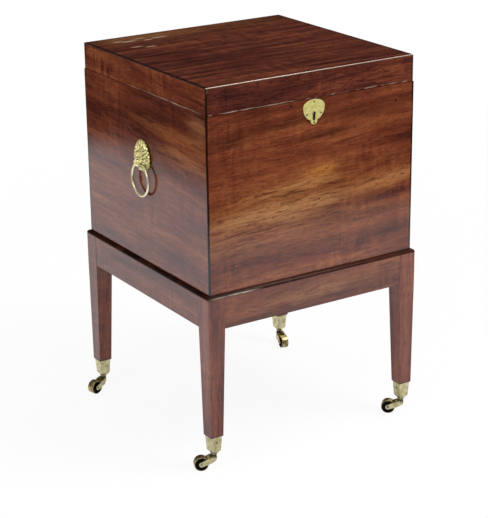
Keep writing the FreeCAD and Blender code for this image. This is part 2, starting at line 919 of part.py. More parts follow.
def castor_cup(corner):
    """The square tapering cup on a leg's foot, bored for the stem of the fork."""
    mouth, foot, end = (middle_square(width) for width in (cup_top_width, cup_foot_width, cup_nose_width))
    body = square_loft(cup_body_foot, castor_height, foot, mouth)
    nose = square_loft(cup_foot, cup_body_foot, end, foot)
    bore = Part.makeCylinder(stem_radius + stem_clearance, cup_height, Vector(0, 0, cup_foot))
    cup = body.fuse(nose).cut([socket(cup_inner_floor), bore]).removeSplitter()
    cup.translate(pintle(corner))
    return cup.cut(cup_screw(corner))


def arm_outline():
    """Outline of a fork's arm in the XZ plane: two rounds joined by their tangents."""
    crown = Vector(0, 0, fork_crown_height)
    hub = Vector(castor_trail, 0, wheel_radius)
    run = hub.sub(crown)
    lean = math.atan2(run.z, run.x)
    spread = math.acos((fork_crown_radius - fork_hub_radius) / run.Length)

    def on(centre, radius, angle):
        return centre.add(Vector(radius * math.cos(angle), 0, radius * math.sin(angle)))

    upper, lower = lean + spread, lean - spread
    crown_up = on(crown, fork_crown_radius, upper)
    crown_down = on(crown, fork_crown_radius, lower)
    hub_up = on(hub, fork_hub_radius, upper)
    hub_down = on(hub, fork_hub_radius, lower)
    back = on(crown, fork_crown_radius, lean + math.pi)
    tip = on(hub, fork_hub_radius, lean)
    return Part.Wire([
        Part.makeLine(crown_up, hub_up),
        Part.Arc(hub_up, tip, hub_down).toShape(),
        Part.makeLine(hub_down, crown_down),
        Part.Arc(crown_down, back, crown_up).toShape(),
    ])


def fork_shoulders():
    """The room the fork keeps within: seen from above, a round crown that swells to the arms.

    Each shoulder is an arc that starts across the swivel axis and meets the arm along its length.
    """
    swell = fork_half_width - fork_crown_radius
    radius = (fork_shoulder_reach ** 2 + swell ** 2) / (2 * swell)
    angle = math.asin(fork_shoulder_reach / radius) / 2
    across = Vector(0, fork_crown_radius, 0)
    drop = radius * (1 - math.cos(angle))
    bulge = Vector(fork_shoulder_reach - radius * math.sin(angle), fork_half_width - drop, 0)
    full = Vector(fork_shoulder_reach, fork_half_width, 0)
    tip = Vector(castor_trail + wheel_radius, fork_half_width, 0)

    def over(point):
        return Vector(point.x, -point.y, 0)

    outline = Part.Wire([
        Part.Arc(across, Vector(-fork_crown_radius, 0, 0), over(across)).toShape(),
        Part.Arc(over(across), over(bulge), over(full)).toShape(),
        Part.makePolygon([over(full), over(tip), tip, full]),
        Part.Arc(full, bulge, across).toShape(),
    ])
    return Part.Face(outline).extrude(Vector(0, 0, castor_height))


def fork_blank():
    """A fork: two slanting arms on a round crown, a neck, a collar, a stem and its riveted head."""
    width = 2 * fork_half_width
    arms = Part.Face(arm_outline()).extrude(Vector(0, width, 0))
    arms.translate(Vector(0, -fork_half_width, 0))
    arms = arms.common(fork_shoulders())
    slot_half = wheel_width / 2 + wheel_side_gap
    slot = box_between(
        (fork_crown_reach, -slot_half, 0),
        (castor_trail + wheel_radius, slot_half, castor_height),
    )
    wheel_room = Part.makeCylinder(
        wheel_radius + wheel_rim_gap,
        2 * slot_half,
        Vector(castor_trail, -slot_half, wheel_radius),
        ALONG_Y,
    )
    hub = Vector(castor_trail, -fork_half_width, wheel_radius)
    axle_hole = Part.makeCylinder(axle_radius, width, hub, ALONG_Y)
    arms = arms.cut([slot, wheel_room, axle_hole])
    collar_top = cup_foot - collar_gap
    collar = Part.makeCylinder(collar_radius, collar_height, Vector(0, 0, collar_top - collar_height))
    neck = Part.makeCone(
        fork_crown_radius,
        fork_neck_radius,
        collar_top - collar_height - fork_crown_height,
        Vector(0, 0, fork_crown_height),
    )
    stem = Part.makeCylinder(stem_radius, stem_head_top - collar_top, Vector(0, 0, collar_top))
    head_low = cup_inner_floor + stem_end_play
    head = Part.makeCylinder(stem_head_radius, stem_head_height, Vector(0, 0, head_low))
    return arms.fuse([neck, collar, stem, head]).removeSplitter()


def axle_blank():
    """An axle with a riveted head outside each arm."""
    y = -fork_half_width
    rod = Part.makeCylinder(axle_radius, 2 * fork_half_width, Vector(castor_trail, y, wheel_radius), ALONG_Y)
    heads = [
        Part.makeCone(
            axle_head_radius,
            axle_radius,
            axle_head_height,
            Vector(castor_trail, side * fork_half_width, wheel_radius),
            Vector(0, side, 0),
        )
        for side in (-1, 1)
    ]
    return rod.fuse(heads).removeSplitter()


def wheel_blank():
    """A wheel turned about the axle: a flat rim, dished sides and a hub."""
    half = wheel_width / 2
    web_half = half - wheel_dish
    rim_inner = wheel_radius - wheel_rim_thickness
    bore = axle_radius + axle_clearance
    section = [
        (bore, half),
        (wheel_hub_radius, half),
        (wheel_hub_radius, web_half),
        (rim_inner, web_half),
        (rim_inner, half),
        (wheel_radius, half),
    ]
    ring_section = section + [(r, -y) for r, y in reversed(section)]
    points = [Vector(castor_trail + r, y, wheel_radius) for r, y in ring_section]
    face = Part.Face(Part.makePolygon(points + points[:1]))
    return face.revolve(Vector(castor_trail, 0, wheel_radius), ALONG_Y, 360)


def castor_placed(shape, corner):
    """A castor's shape turned to its trail and moved under its leg."""
    return turned(shape, CORNERS[corner]["trail"], pintle(corner))


# ---- all the pieces ----
def stand_pieces():
    """The legs, rails and moulding."""
    pieces = {f"leg_{corner}": leg(corner) for corner in CORNERS}
    pieces.update({f"rail_{side}": rail(side) for side in TURN})
    pieces["stand_moulding"] = [moulding(side) for side in TURN]
    return pieces


def box_pieces():
    """The box, its floor and its dividers."""
    pieces = {
        "box_front": box_front(),
        "box_rear": box_rear(),
        "box_left": box_side("left"),
        "box_right": box_side("right"),
        "box_floor": box_floor(),
    }
    pieces.update(dividers())
    return pieces


def lid_pieces():
    """The lid's boards, panel and veneer."""
    return {
        "lid_front": lid_front(),
        "lid_rear": lid_rear(),
        "lid_left": lid_board("left"),
        "lid_right": lid_board("right"),
        "lid_panel": lid_panel(),
        "lid_top_veneer": lid_top_veneer(),
    }


def fitting_pieces():
    """The hinges, the lock and the screws."""
    left, right = hinge_places
    return {
        "hinge_box_leaf_left": box_leaf(left),
        "hinge_box_leaf_right": box_leaf(right),
        "hinge_lid_leaf_left": lid_leaf(left),
        "hinge_lid_leaf_right": lid_leaf(right),
        "hinge_pins": hinge_pins(),
        "box_screws": box_hinge_screws() + lock_screws(),
        "lid_screws": lid_hinge_screws() + link_plate_screws(),
        "lock_case": lock_case(),
        "lock_back": lock_back(),
        "lock_bolt": lock_bolt(),
        "link_plate": link_plate(),
        "escutcheon": escutcheon(),
        "escutcheon_pins": escutcheon_pins(),
    }


def handle_pieces():
    """The masks, rings and nuts."""
    pieces = {}
    mask = lion_mask()
    for side in ("left", "right"):
        pieces[f"lion_mask_{side}"] = handle_placed(mask, side)
        pieces[f"ring_{side}"] = handle_placed(ring(), side)
    pieces["handle_nuts"] = [handle_placed(handle_nut(), side) for side in ("left", "right")]
    return pieces


def castor_pieces():
    """Cup, fork, axle and wheel at each corner, and the cups' screws."""
    pieces = {}
    fork, axle, wheel = fork_blank(), axle_blank(), wheel_blank()
    for corner in CORNERS:
        pieces[f"castor_cup_{corner}"] = castor_cup(corner)
        pieces[f"castor_fork_{corner}"] = castor_placed(fork, corner)
        pieces[f"castor_axle_{corner}"] = castor_placed(axle, corner)
        pieces[f"castor_wheel_{corner}"] = castor_placed(wheel, corner)
    pieces["castor_screws"] = [cup_screw(corner) for corner in CORNERS]
    return pieces


def export(node, shape):
    """Writes one node's solid, or its group of solids."""
    if isinstance(shape, list):
        shape = Part.makeCompound(shape)
    shape.exportStep(f"parts/{node}.step")


os.makedirs("parts", exist_ok=True)
for make in (stand_pieces, box_pieces, lid_pieces, fitting_pieces, handle_pieces, castor_pieces):
    for node, shape in make().items():
        export(node, shape)
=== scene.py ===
import math

import bpy
import numpy as np
from mathutils import Euler, Matrix, Vector


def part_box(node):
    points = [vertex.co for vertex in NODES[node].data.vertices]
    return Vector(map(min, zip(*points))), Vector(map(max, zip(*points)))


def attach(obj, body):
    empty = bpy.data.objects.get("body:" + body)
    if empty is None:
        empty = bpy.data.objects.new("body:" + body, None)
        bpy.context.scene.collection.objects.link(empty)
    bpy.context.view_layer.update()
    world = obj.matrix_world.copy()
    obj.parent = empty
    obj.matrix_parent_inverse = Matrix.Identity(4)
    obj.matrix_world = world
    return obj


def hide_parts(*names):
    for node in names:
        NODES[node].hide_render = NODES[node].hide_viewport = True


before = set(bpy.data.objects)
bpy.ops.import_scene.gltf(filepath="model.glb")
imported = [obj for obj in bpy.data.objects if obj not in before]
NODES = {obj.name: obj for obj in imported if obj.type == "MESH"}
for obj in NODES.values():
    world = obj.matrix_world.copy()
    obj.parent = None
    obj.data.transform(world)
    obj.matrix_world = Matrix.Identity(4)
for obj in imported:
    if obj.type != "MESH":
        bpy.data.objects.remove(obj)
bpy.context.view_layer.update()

MM = 0.001
CORNERS = ("front_left", "front_right", "rear_left", "rear_right")

# ---- camera ----
IMAGE_HEIGHT = 518
CAMERA_PLACE = (-1.5467, -2.4178, 1.3206)
CAMERA_YAW = 32.469          # degrees to the right of +Y
CAMERA_PITCH = 19.867        # degrees down
CAMERA_ROLL = -0.714
CAMERA_FOCAL_PIXELS = 1669.5
SENSOR = 36.0


def place_camera():
    """Axes of the camera as the columns right, up and back, turned by yaw, pitch and roll."""
    yaw, pitch, roll = (math.radians(a) for a in (CAMERA_YAW, CAMERA_PITCH, CAMERA_ROLL))
    ahead = Vector((math.sin(yaw) * math.cos(pitch), math.cos(yaw) * math.cos(pitch), -math.sin(pitch)))
    level = Vector((math.cos(yaw), -math.sin(yaw), 0.0))
    rise = level.cross(ahead)
    right = math.cos(roll) * level + math.sin(roll) * rise
    up = -math.sin(roll) * level + math.cos(roll) * rise
    data = bpy.data.cameras.new("camera")
    data.sensor_width = SENSOR
    data.lens = CAMERA_FOCAL_PIXELS * SENSOR / IMAGE_HEIGHT
    data.clip_end = 100.0
    camera = bpy.data.objects.new("camera", data)
    turn = Matrix((right, up, -ahead)).transposed().to_4x4()
    camera.matrix_world = Matrix.Translation(CAMERA_PLACE) @ turn
    bpy.context.collection.objects.link(camera)
    bpy.context.scene.camera = camera


# ---- node trees ----
class Tree:
    """A node tree, with short words for the nodes that the finishes here are made of."""

    def __init__(self, tree):
        self.tree = tree
        tree.nodes.clear()

    def node(self, kind, inputs=None, **settings):
        """A node of that kind; inputs are values, or sockets to link from."""
        made = self.tree.nodes.new(kind)
        for name, value in settings.items():
            setattr(made, name, value)
        for key, value in (inputs or {}).items():
            if isinstance(value, bpy.types.NodeSocket):
                self.tree.links.new(value, made.inputs[key])
            else:
                made.inputs[key].default_value = value
        return made

    def math(self, operation, a, b=0.0, c=0.0):
        """A number worked out from up to three others."""
        return self.node("ShaderNodeMath", {0: a, 1: b, 2: c}, operation=operation).outputs[0]

    def vector(self, operation, a, b):
        """A vector worked out from two others."""
        return self.node("ShaderNodeVectorMath", {0: a, 1: b}, operation=operation).outputs["Vector"]

    def length(self, vector):
        """The length of a vector."""
        return self.node("ShaderNodeVectorMath", {0: vector}, operation="LENGTH").outputs["Value"]

    def part(self, vector, axis):
        """A vector's own X, Y or Z."""
        return self.node("ShaderNodeSeparateXYZ", {0: vector}).outputs[axis]

    def smooth(self, value, low, high, to_low=0.0, to_high=1.0):
        """value taken from low..high to to_low..to_high along a smooth step."""
        made = self.node(
            "ShaderNodeMapRange",
            {"Value": value, "From Min": low, "From Max": high, "To Min": to_low, "To Max": to_high},
            interpolation_type="SMOOTHSTEP",
        )
        return made.outputs["Result"]

    def scaled(self, place, scale=(1.0, 1.0, 1.0), shift=(0.0, 0.0, 0.0), turn=(0.0, 0.0, 0.0)):
        """Coordinates scaled, turned and shifted, in that order."""
        inputs = {"Vector": place, "Scale": scale, "Location": shift, "Rotation": turn}
        return self.node("ShaderNodeMapping", inputs).outputs[0]

    def noise(self, place, scale, detail=3.0, rough=0.5, distort=0.0):
        """Noise from 0 to 1, in waves of about 1 / scale."""
        made = self.node("ShaderNodeTexNoise", {"Vector": place, "Scale": scale, "Detail": detail})
        made.inputs["Roughness"].default_value = rough
        made.inputs["Distortion"].default_value = distort
        return made.outputs["Fac"]

    def ramp(self, value, stops):
        """A colour ramp through (position, colour) stops."""
        made = self.node("ShaderNodeValToRGB", {"Fac": value})
        points = made.color_ramp.elements
        while len(points) < len(stops):
            points.new(1.0)
        for point, (position, colour) in zip(points, stops):
            point.position = position
            point.color = (*colour, 1.0)
        return made.outputs["Color"]

    def blend(self, share, under, over):
        """The colour under, covered by a share of the colour over."""
        made = self.node("ShaderNodeMix", data_type="RGBA", blend_type="MIX")
        for index, value in ((0, share), (6, under), (7, over)):
            socket = made.inputs[index]
            if isinstance(value, bpy.types.NodeSocket):
                self.tree.links.new(value, socket)
            elif index:
                socket.default_value = (*value, 1.0)
            else:
                socket.default_value = value
        return made.outputs[2]

    def mix(self, share, under, over):
        """The shader under, replaced by a share of the shader over."""
        return self.node("ShaderNodeMixShader", {0: share, 1: under, 2: over}).outputs[0]

    def paint_corner_shade(self, colour, corner_shade, reach, samples, shut_in, share):
        """Painted shade: the colour darkened where other surfaces lie within reach and shut the place in."""
        open_air = self.node("ShaderNodeAmbientOcclusion", {"Distance": reach}, samples=samples).outputs["AO"]
        return self.blend(self.smooth(open_air, shut_in, 0.85, share, 0.0), colour, corner_shade)

    def bump(self, height, strength, distance, normal=None):
        """A normal tilted by the slope of height, on top of another normal."""
        inputs = {"Height": height, "Strength": strength, "Distance": distance}
        if normal is not None:
            inputs["Normal"] = normal
        return self.node("ShaderNodeBump", inputs).outputs[0]

    def spot(self, place, centre, radii, soft=0.35):
        """1 inside the ellipsoid about centre, falling to 0 over its outer part."""
        scale = tuple(1.0 / r for r in radii)
        shift = tuple(-c / r for c, r in zip(centre, radii))
        away = self.length(self.scaled(place, scale, shift))
        return self.smooth(away, 1.0 - soft, 1.0 + soft, 1.0, 0.0)


def shade(colour, share):
    """A colour times a share."""
    return tuple(c * share for c in colour)


def new_material(name):
    """A material with an empty tree, its Tree, and the object's own coordinates."""
    material = bpy.data.materials.new(name)
    material.use_nodes = True
    tree = Tree(material.node_tree)
    place = tree.node("ShaderNodeTexCoord").outputs["Object"]
    return material, tree, place


def finish_material(tree, **inputs):
    """The shader, its inputs given as values or sockets, and the output."""
    named = {key.replace("_", " "): value for key, value in inputs.items()}
    shader = tree.node("ShaderNodeBsdfPrincipled", named)
    tree.node("ShaderNodeOutputMaterial", {"Surface": shader.outputs[0]})
    return shader


# ---- stage ----
PAPER_WHITE = 0.86
PAPER_SHARE = 0.90           # how much of the near paper is plain white; the rest takes the shadow
PAPER_FAR = (0.7, 2.2)       # metres from the middle, over which all of it turns plain white
PAPER_REACH = 14.0
PAPER_GLOW = (0.97, 1.0, 1.06)
# the mirrored paper's glow is painted light, and its shade under the stand a painted shadow
GLOW_STRENGTH = 1.12         # of the lit paper where it is mirrored
DARK_STRENGTH = 0.015        # of the dark studio beyond it
UNDER_STAND = (0.12, 0.62)   # metres from the middle, over which the shade under the stand ends
UNDER_STAND_SHADE = 0.55
PAPER_EDGE_X = (0.94, 1.18)  # metres from the middle: where the lit paper fades, sideways
PAPER_EDGE_Y = (1.36, 1.66)  # and forwards or back, from its own middle
PAPER_MIDDLE = (0.0, 0.26)
CEILING = (0.45, 0.95, 0.012, 0.5)  # from and to, as rise of the direction; strength there, when mirrored
AMBIENT_STRENGTH = 0.42
AMBIENT_COLOUR = (1.0, 0.98, 0.96, 1.0)
LAMP_COLOUR = (1.0, 0.985, 0.96)
WHITE = (1.0, 1.0, 1.0, 1.0)


def seen_paper(tree, place, is_camera):
    """Matt paper that takes the shadow, whiter for the camera and plain white further out."""
    matt = tree.node("ShaderNodeBsdfDiffuse", {"Color": (PAPER_WHITE, PAPER_WHITE, PAPER_WHITE, 1.0)})
    white = tree.node("ShaderNodeEmission", {"Color": WHITE, "Strength": 1.0})
    share = tree.smooth(tree.length(place), *PAPER_FAR, PAPER_SHARE, 1.0)
    return tree.mix(tree.math("MULTIPLY", is_camera, share), matt.outputs[0], white.outputs[0])


def mirrored_paper(tree, place):
    """Painted light for mirrored rays: the paper glows as a lit rectangle that fades at its edges, with a
    painted shadow under the stand.
    """
    glow = tree.smooth(tree.length(place), *UNDER_STAND, UNDER_STAND_SHADE, 1.0)
    for axis, middle, edge in zip("XY", PAPER_MIDDLE, (PAPER_EDGE_X, PAPER_EDGE_Y)):
        away = tree.math("ABSOLUTE", tree.math("SUBTRACT", tree.part(place, axis), middle))
        glow = tree.math("MULTIPLY", glow, tree.smooth(away, *edge, 1.0, 0.0))
    strength = tree.math("MULTIPLY_ADD", glow, GLOW_STRENGTH, DARK_STRENGTH)
    return tree.node("ShaderNodeEmission", {"Color": (*PAPER_GLOW, 1.0), "Strength": strength}).outputs[0]


def paper_material():
    """White paper; where it is mirrored, painted light around the object with a painted shadow under the
    stand, fading into the dark studio at its edges.
    """
    material, tree, place = new_material("stage_paper")
    path = tree.node("ShaderNodeLightPath").outputs
    seen = seen_paper(tree, place, path["Is Camera Ray"])
    surface = tree.mix(path["Is Glossy Ray"], seen, mirrored_paper(tree, place))
    tree.node("ShaderNodeOutputMaterial", {"Surface": surface})
    return material


def lay_paper():
    """A flat sheet on the floor, far larger than the view."""
    reach = PAPER_REACH
    mesh = bpy.data.meshes.new("stage_floor")
    corners = [(-reach, -reach, 0), (reach, -reach, 0), (reach, reach, 0), (-reach, reach, 0)]
    mesh.from_pydata(corners, [], [(0, 1, 2, 3)])
    floor = bpy.data.objects.new("stage_floor", mesh)
    floor.data.materials.append(paper_material())
    bpy.context.collection.objects.link(floor)


def light_room():
    """White behind everything the camera sees; a dim studio in reflections, brighter overhead."""
    world = bpy.data.worlds.new("studio")
    world.use_nodes = True
    bpy.context.scene.world = world
    tree = Tree(world.node_tree)
    path = tree.node("ShaderNodeLightPath").outputs
    rise = tree.part(tree.node("ShaderNodeTexCoord").outputs["Generated"], "Z")
    overhead = tree.smooth(rise, *CEILING)
    ambient = tree.node("ShaderNodeBackground", {"Color": AMBIENT_COLOUR, "Strength": AMBIENT_STRENGTH})
    ceiling = tree.node("ShaderNodeBackground", {"Color": WHITE, "Strength": overhead})
    white = tree.node("ShaderNodeBackground", {"Color": WHITE, "Strength": 1.0})
    mirrored = tree.mix(path["Is Glossy Ray"], ambient.outputs[0], ceiling.outputs[0])
    seen = tree.mix(path["Is Camera Ray"], mirrored, white.outputs[0])
    tree.node("ShaderNodeOutputWorld", {"Surface": seen})


def softbox(name, place, aim, size, power, mirrored=True):
    """A square soft light at place, facing aim; the varnish and brass mirror it or don't."""
    data = bpy.data.lights.new(name, "AREA")
    data.shape = "SQUARE"
    data.size = size
    data.energy = power
    data.color = LAMP_COLOUR
    lamp = bpy.data.objects.new(name, data)
    lamp.visible_camera = False
    lamp.visible_glossy = mirrored
    lamp.location = place
    lamp.rotation_euler = (Vector(aim) - Vector(place)).to_track_quat("-Z", "Y").to_euler()
    bpy.context.collection.objects.link(lamp)


def light_stage():
    """Five soft lights: front right, front left, overhead, behind, and behind on the right."""
    middle = (0.0, 0.0, 0.4)
    softbox("softbox_front_right", (1.15, -1.35, 2.45), middle, 1.1, 44.0)
    softbox("softbox_left", (-2.3, -1.0, 1.9), middle, 1.4, 32.0)
    softbox("softbox_overhead", (0.3, -0.5, 2.9), middle, 1.4, 18.0, mirrored=False)
    softbox("softbox_rear", (-0.9, 2.6, 0.8), middle, 1.3, 16.0, mirrored=False)
    softbox("softbox_right", (2.5, 1.3, 1.9), middle, 1.4, 16.0)


# ---- wood ----
TURN_AXIS = {"X": 1, "Y": 0, "Z": 1}  # a board is tilted about this axis, by the direction of its grain
BEND = 0.024                 # how far slow waves bend the grain, in metres
TONE_SHARES = {"bands": 0.42, "streaks": 0.16, "fine": 0.16, "hairs": 0.15, "clouds": 0.11}
TONE_STOPS = (0.395, 0.50, 0.605)  # where the dark, middle and light tones lie on the ramp
PORE_SHARES = (0.50, 0.42)   # how dark short and long pores are
PATCH_DEPTH = 0.05           # half depth of a patch, into a board
RED_BROWN = ((0.042, 0.0088, 0.0062), (0.130, 0.0310, 0.0150), (0.245, 0.0740, 0.0270))
BARE_BROWN = ((0.10, 0.040, 0.020), (0.19, 0.085, 0.042), (0.29, 0.15, 0.080))
NEARLY_BLACK = (0.010, 0.0040, 0.0035)
# pale wear; along the lid top's front and back arrises also a painted highlight
PALE_WEAR_AND_HIGHLIGHT = (0.50, 0.40, 0.33)
DARK_BAND = (0.040, 0.0085, 0.0058)
# pale wear with a painted highlight along the lid's lower arris
LIP_WEAR_AND_HIGHLIGHT = (0.56, 0.44, 0.34)


def by_grain(grain, along, across):
    """A scale for each axis: along on the axis of the grain, across on the two others."""
    return tuple(along if axis == grain else across for axis in "XYZ")


def bend(tree, own):
    """Coordinates bent by slow waves, so that the grain doesn't run dead straight."""
    waves = tree.node("ShaderNodeTexNoise", {"Vector": own, "Scale": 4.0, "Detail": 2.0}).outputs["Color"]
    return tree.vector("ADD", own, tree.scaled(waves, (BEND,) * 3, (-BEND / 2,) * 3))


def wood_layers(tree, bent, along, grain, figure):
    """The noises of the figure by name; along is bent with the grain stretched."""
    clouds = tree.noise(bent, 9.0, 3.0, 0.5)
    rib = tree.noise(tree.scaled(bent, by_grain(grain, 15.0, 3.6)), 5.0, 2.0, 0.5, 0.4)
    rib_strength = tree.smooth(clouds, 0.45, 0.62, 0.15, 1.6)
    fleck = tree.noise(tree.scaled(bent, by_grain(grain, 1.0, 4.2)), 85.0, 2.0, 0.6)
    return {
        "bands": tree.noise(along, figure, 2.0, 0.5, 0.4),
        "streaks": tree.noise(along, figure * 4.0, 3.0, 0.6, 0.3),
        "fine": tree.noise(along, 24.0, 3.0, 0.65, 0.1),
        "hairs": tree.noise(along, 52.0, 3.0, 0.7),
        "clouds": clouds,
        "ribs": tree.math("MULTIPLY", tree.math("SUBTRACT", rib, 0.5), rib_strength),
        "growth": tree.smooth(tree.noise(along, figure * 7.0, 1.0, 0.4, 0.5), 0.60, 0.70),
        "flecks": tree.smooth(fleck, 0.53, 0.66),
    }


def wood_tone(tree, layers, ribs):
    """The layers added up by their shares, from dark to light."""
    tone = 0.0
    for name, share in {**TONE_SHARES, "ribs": ribs * 2.0}.items():
        tone = tree.math("MULTIPLY_ADD", layers[name], share, tone)
    return tone


def lay_patches(tree, colour, tilted, turn, layers, patches):
    """Patches of another tone along the grain, broken up by the streaks."""
    half_fine = tree.math("MULTIPLY", layers["fine"], 0.5)
    broken = tree.math("ADD", tree.math("MULTIPLY", layers["streaks"], 0.5), half_fine)
    broken = tree.smooth(broken, 0.34, 0.60)
    for centre, radii, tint, share, soft in patches:
        centre = Euler(turn).to_matrix() @ Vector(centre)
        mask = tree.math("MULTIPLY", tree.spot(tilted, centre, radii, soft), broken)
        colour = tree.blend(tree.math("MULTIPLY", mask, share), colour, tint)
    return colour


def wood_pores(tree, along, grain):
    """Short pores and long ones, each 1 in a pore and 0 beside it."""
    place = tree.scaled(along, by_grain(grain, 1.0, 2.6))
    short_pores = tree.smooth(tree.noise(place, 80.0, 2.0, 0.7), 0.58, 0.70)
    long_pores = tree.smooth(tree.noise(place, 34.0, 2.0, 0.6), 0.60, 0.68)
    return short_pores, long_pores


def draw_edges(tree, colour, place, edges):
    """Ragged lines along the arrises, on both sides of the object for X and Y."""
    wobble = tree.math("SUBTRACT", tree.noise(place, 70.0, 3.0, 0.65), 0.5)
    for axis, start, end, tint, share in edges:
        reach = tree.part(place, axis)
        if axis != "Z":
            reach = tree.math("ABSOLUTE", reach)
        ragged = tree.math("MULTIPLY_ADD", wobble, abs(end - start) * 2.0, reach)
        line = tree.math("MULTIPLY", tree.smooth(ragged, start, end), share)
        colour = tree.blend(line, colour, tint)
    return colour


def mahogany(
    name,
    grain="X",
    tones=RED_BROWN,
    shift=(0.0, 0.0, 0.0),
    slope=0.0,
    figure=2.0,
    ribs=0.06,
    lines=0.35,
    flecks=0.45,
    patches=(),
    marks=(),
    edges=(),
    gloss=1.0,
    coat_rough=0.07,
    rough=(0.42, 0.56),
):
    """Varnished mahogany with its grain along an axis, tilted by slope degrees.

    Bands, streaks, fine streaks and hair lines, each a noise stretched along the grain, with clouds
    and faint ribs across it, are added up and coloured by a ramp from dark to light. Dark growth
    lines, flecks and two sizes of pore go over that. A patch is (centre, radii, tint, share, soft),
    an ellipsoid of another tone that lies along the grain. A mark is (centre, radius), a dark spot
    for a knot, a nail hole, and on the front for painted shade inside the keyhole. An edge is
    (axis, start, end, tint, share), a line that deepens from start to end along that axis, measured
    from the middle of the object for X and Y. Painted shade darkens the corners between boards,
    where other surfaces shut them in. The varnish is a coat with slow waves in it.
    """
    material, tree, place = new_material(name)
    turn = [0.0, 0.0, 0.0]
    turn[TURN_AXIS[grain]] = math.radians(slope)
    own = tree.scaled(place, shift=shift, turn=turn)
    tilted = tree.scaled(place, turn=turn)
    bent = bend(tree, own)
    along = tree.scaled(bent, by_grain(grain, 1.0, 12.0))
    layers = wood_layers(tree, bent, along, grain, figure)
    pores = wood_pores(tree, along, grain)
    dark = tones[0]
    deep = shade(dark, 0.35)
    colour = tree.ramp(wood_tone(tree, layers, ribs), list(zip(TONE_STOPS, tones)))
    colour = tree.blend(tree.math("MULTIPLY", layers["growth"], lines), colour, dark)
    colour = lay_patches(tree, colour, tilted, turn, layers, patches)
    colour = tree.blend(tree.math("MULTIPLY", layers["flecks"], flecks), colour, dark)
    for pore, share in zip(pores, PORE_SHARES):
        colour = tree.blend(tree.math("MULTIPLY", pore, share), colour, deep)
    for centre, radius in marks:
        colour = tree.blend(tree.spot(place, centre, (radius,) * 3, 0.5), colour, deep)
    colour = draw_edges(tree, colour, place, edges)
    # painted shade in the corners between boards, where other surfaces shut them in
    colour = tree.paint_corner_shade(colour, deep, reach=0.004, samples=6, shut_in=0.30, share=0.9)
    waves = tree.noise(own, 20.0, 2.0, 0.5)
    finish_material(
        tree,
        Base_Color=colour,
        Roughness=tree.smooth(tree.noise(own, 9.0, 4.0, 0.6), 0.3, 0.7, *rough),
        Specular_IOR_Level=0.0,
        Normal=tree.bump(tree.math("SUBTRACT", layers["hairs"], pores[0]), 0.25, 0.0003),
        Coat_Weight=gloss,
        Coat_Roughness=coat_rough,
        Coat_Normal=tree.bump(waves, 0.07, 0.002, tree.bump(layers["fine"], 0.02, 0.0006)),
    )
    return material


def dress(material, *names):
    """Gives CAD nodes a finish."""
    for name in names:
        mesh = NODES[name].data
        mesh.materials.clear()
        mesh.materials.append(material)


WOOD_ARRIS = 0.0009          # width of the rounding
BRASS_ARRIS = 0.0004


def soften(width, *names):
    """Rounds the arrises of CAD nodes: their loose triangles are welded, then bevelled."""
    for name in names:
        piece = NODES[name]
        weld = piece.modifiers.new("weld", "WELD")
        weld.merge_threshold = 0.00001
        bevel = piece.modifiers.new("arris", "BEVEL")
        bevel.width = width
        bevel.segments = 3
        bevel.limit_method = "ANGLE"
        bevel.angle_limit = math.radians(40.0)


FRONT_TONES = ((0.046, 0.0100, 0.0066), (0.152, 0.0370, 0.0165), (0.275, 0.0860, 0.0300))
FRONT_PATCHES = (            # x, z, half length, half height, tint, share, softness
    (0.020, 0.470, 0.200, 0.030, (0.24, 0.080, 0.026), 0.80, 0.8),
    (-0.100, 0.420, 0.150, 0.034, (0.29, 0.120, 0.045), 0.85, 0.8),
    (-0.060, 0.446, 0.120, 0.014, (0.44, 0.215, 0.090), 0.85, 0.7),
    (-0.050, 0.480, 0.090, 0.011, (0.42, 0.190, 0.070), 0.85, 0.7),
    (0.013, 0.502, 0.030, 0.010, (0.46, 0.190, 0.045), 0.90, 0.7),
    (0.160, 0.462, 0.080, 0.012, (0.40, 0.170, 0.065), 0.80, 0.7),
    (-0.030, 0.597, 0.180, 0.008, DARK_BAND, 0.85, 0.6),
    (-0.130, 0.617, 0.080, 0.005, DARK_BAND, 0.70, 0.6),
    (-0.170, 0.578, 0.060, 0.009, DARK_BAND, 0.85, 0.6),
    (0.020, 0.565, 0.060, 0.007, DARK_BAND, 0.80, 0.6),
    (0.120, 0.590, 0.070, 0.006, DARK_BAND, 0.60, 0.6),
    (0.110, 0.405, 0.130, 0.010, DARK_BAND, 0.65, 0.7),
    (0.140, 0.375, 0.120, 0.010, DARK_BAND, 0.60, 0.7),
)
LEFT_PATCHES = (             # y in place of x
    (-0.120, 0.575, 0.120, 0.011, (0.27, 0.095, 0.034), 0.75, 0.8),
    (-0.145, 0.540, 0.080, 0.016, (0.30, 0.115, 0.045), 0.80, 0.8),
    (-0.185, 0.605, 0.030, 0.020, (0.28, 0.120, 0.055), 0.80, 0.8),
    (-0.100, 0.597, 0.110, 0.008, DARK_BAND, 0.80, 0.7),
)


def board_patches(rows, grain, face):
    """Patches on a board whose grain runs along X or Y, and whose face is at face on the other axis."""
    patches = []
    for along, rise, half_length, half_height, *look in rows:
        if grain == "X":
            centre = (along, face, rise)
            radii = (half_length, PATCH_DEPTH, half_height)
        else:
            centre = (face, along, rise)
            radii = (PATCH_DEPTH, half_length, half_height)
        patches.append((centre, radii, *look))
    return patches


def front_wood(face, corner):
    """The front of the box: a golden band across it, dark bands above, and painted shade inside the keyhole.
    """
    return mahogany(
        "mahogany_front",
        "X",
        tones=FRONT_TONES,
        shift=(0.3, 0.0, 0.12),
        slope=2.6,
        ribs=0.09,
        patches=board_patches(FRONT_PATCHES, "X", face),
        marks=(
            ((-0.046, face, 0.622), 0.0018),
            ((0.172, face, 0.600), 0.0020),
            ((0.012, face, 0.452), 0.0016),
            # painted shade inside the keyhole, through the board
            ((0.0, face + 0.005, 0.599), 0.013),
        ),
        edges=(corner,),
    )


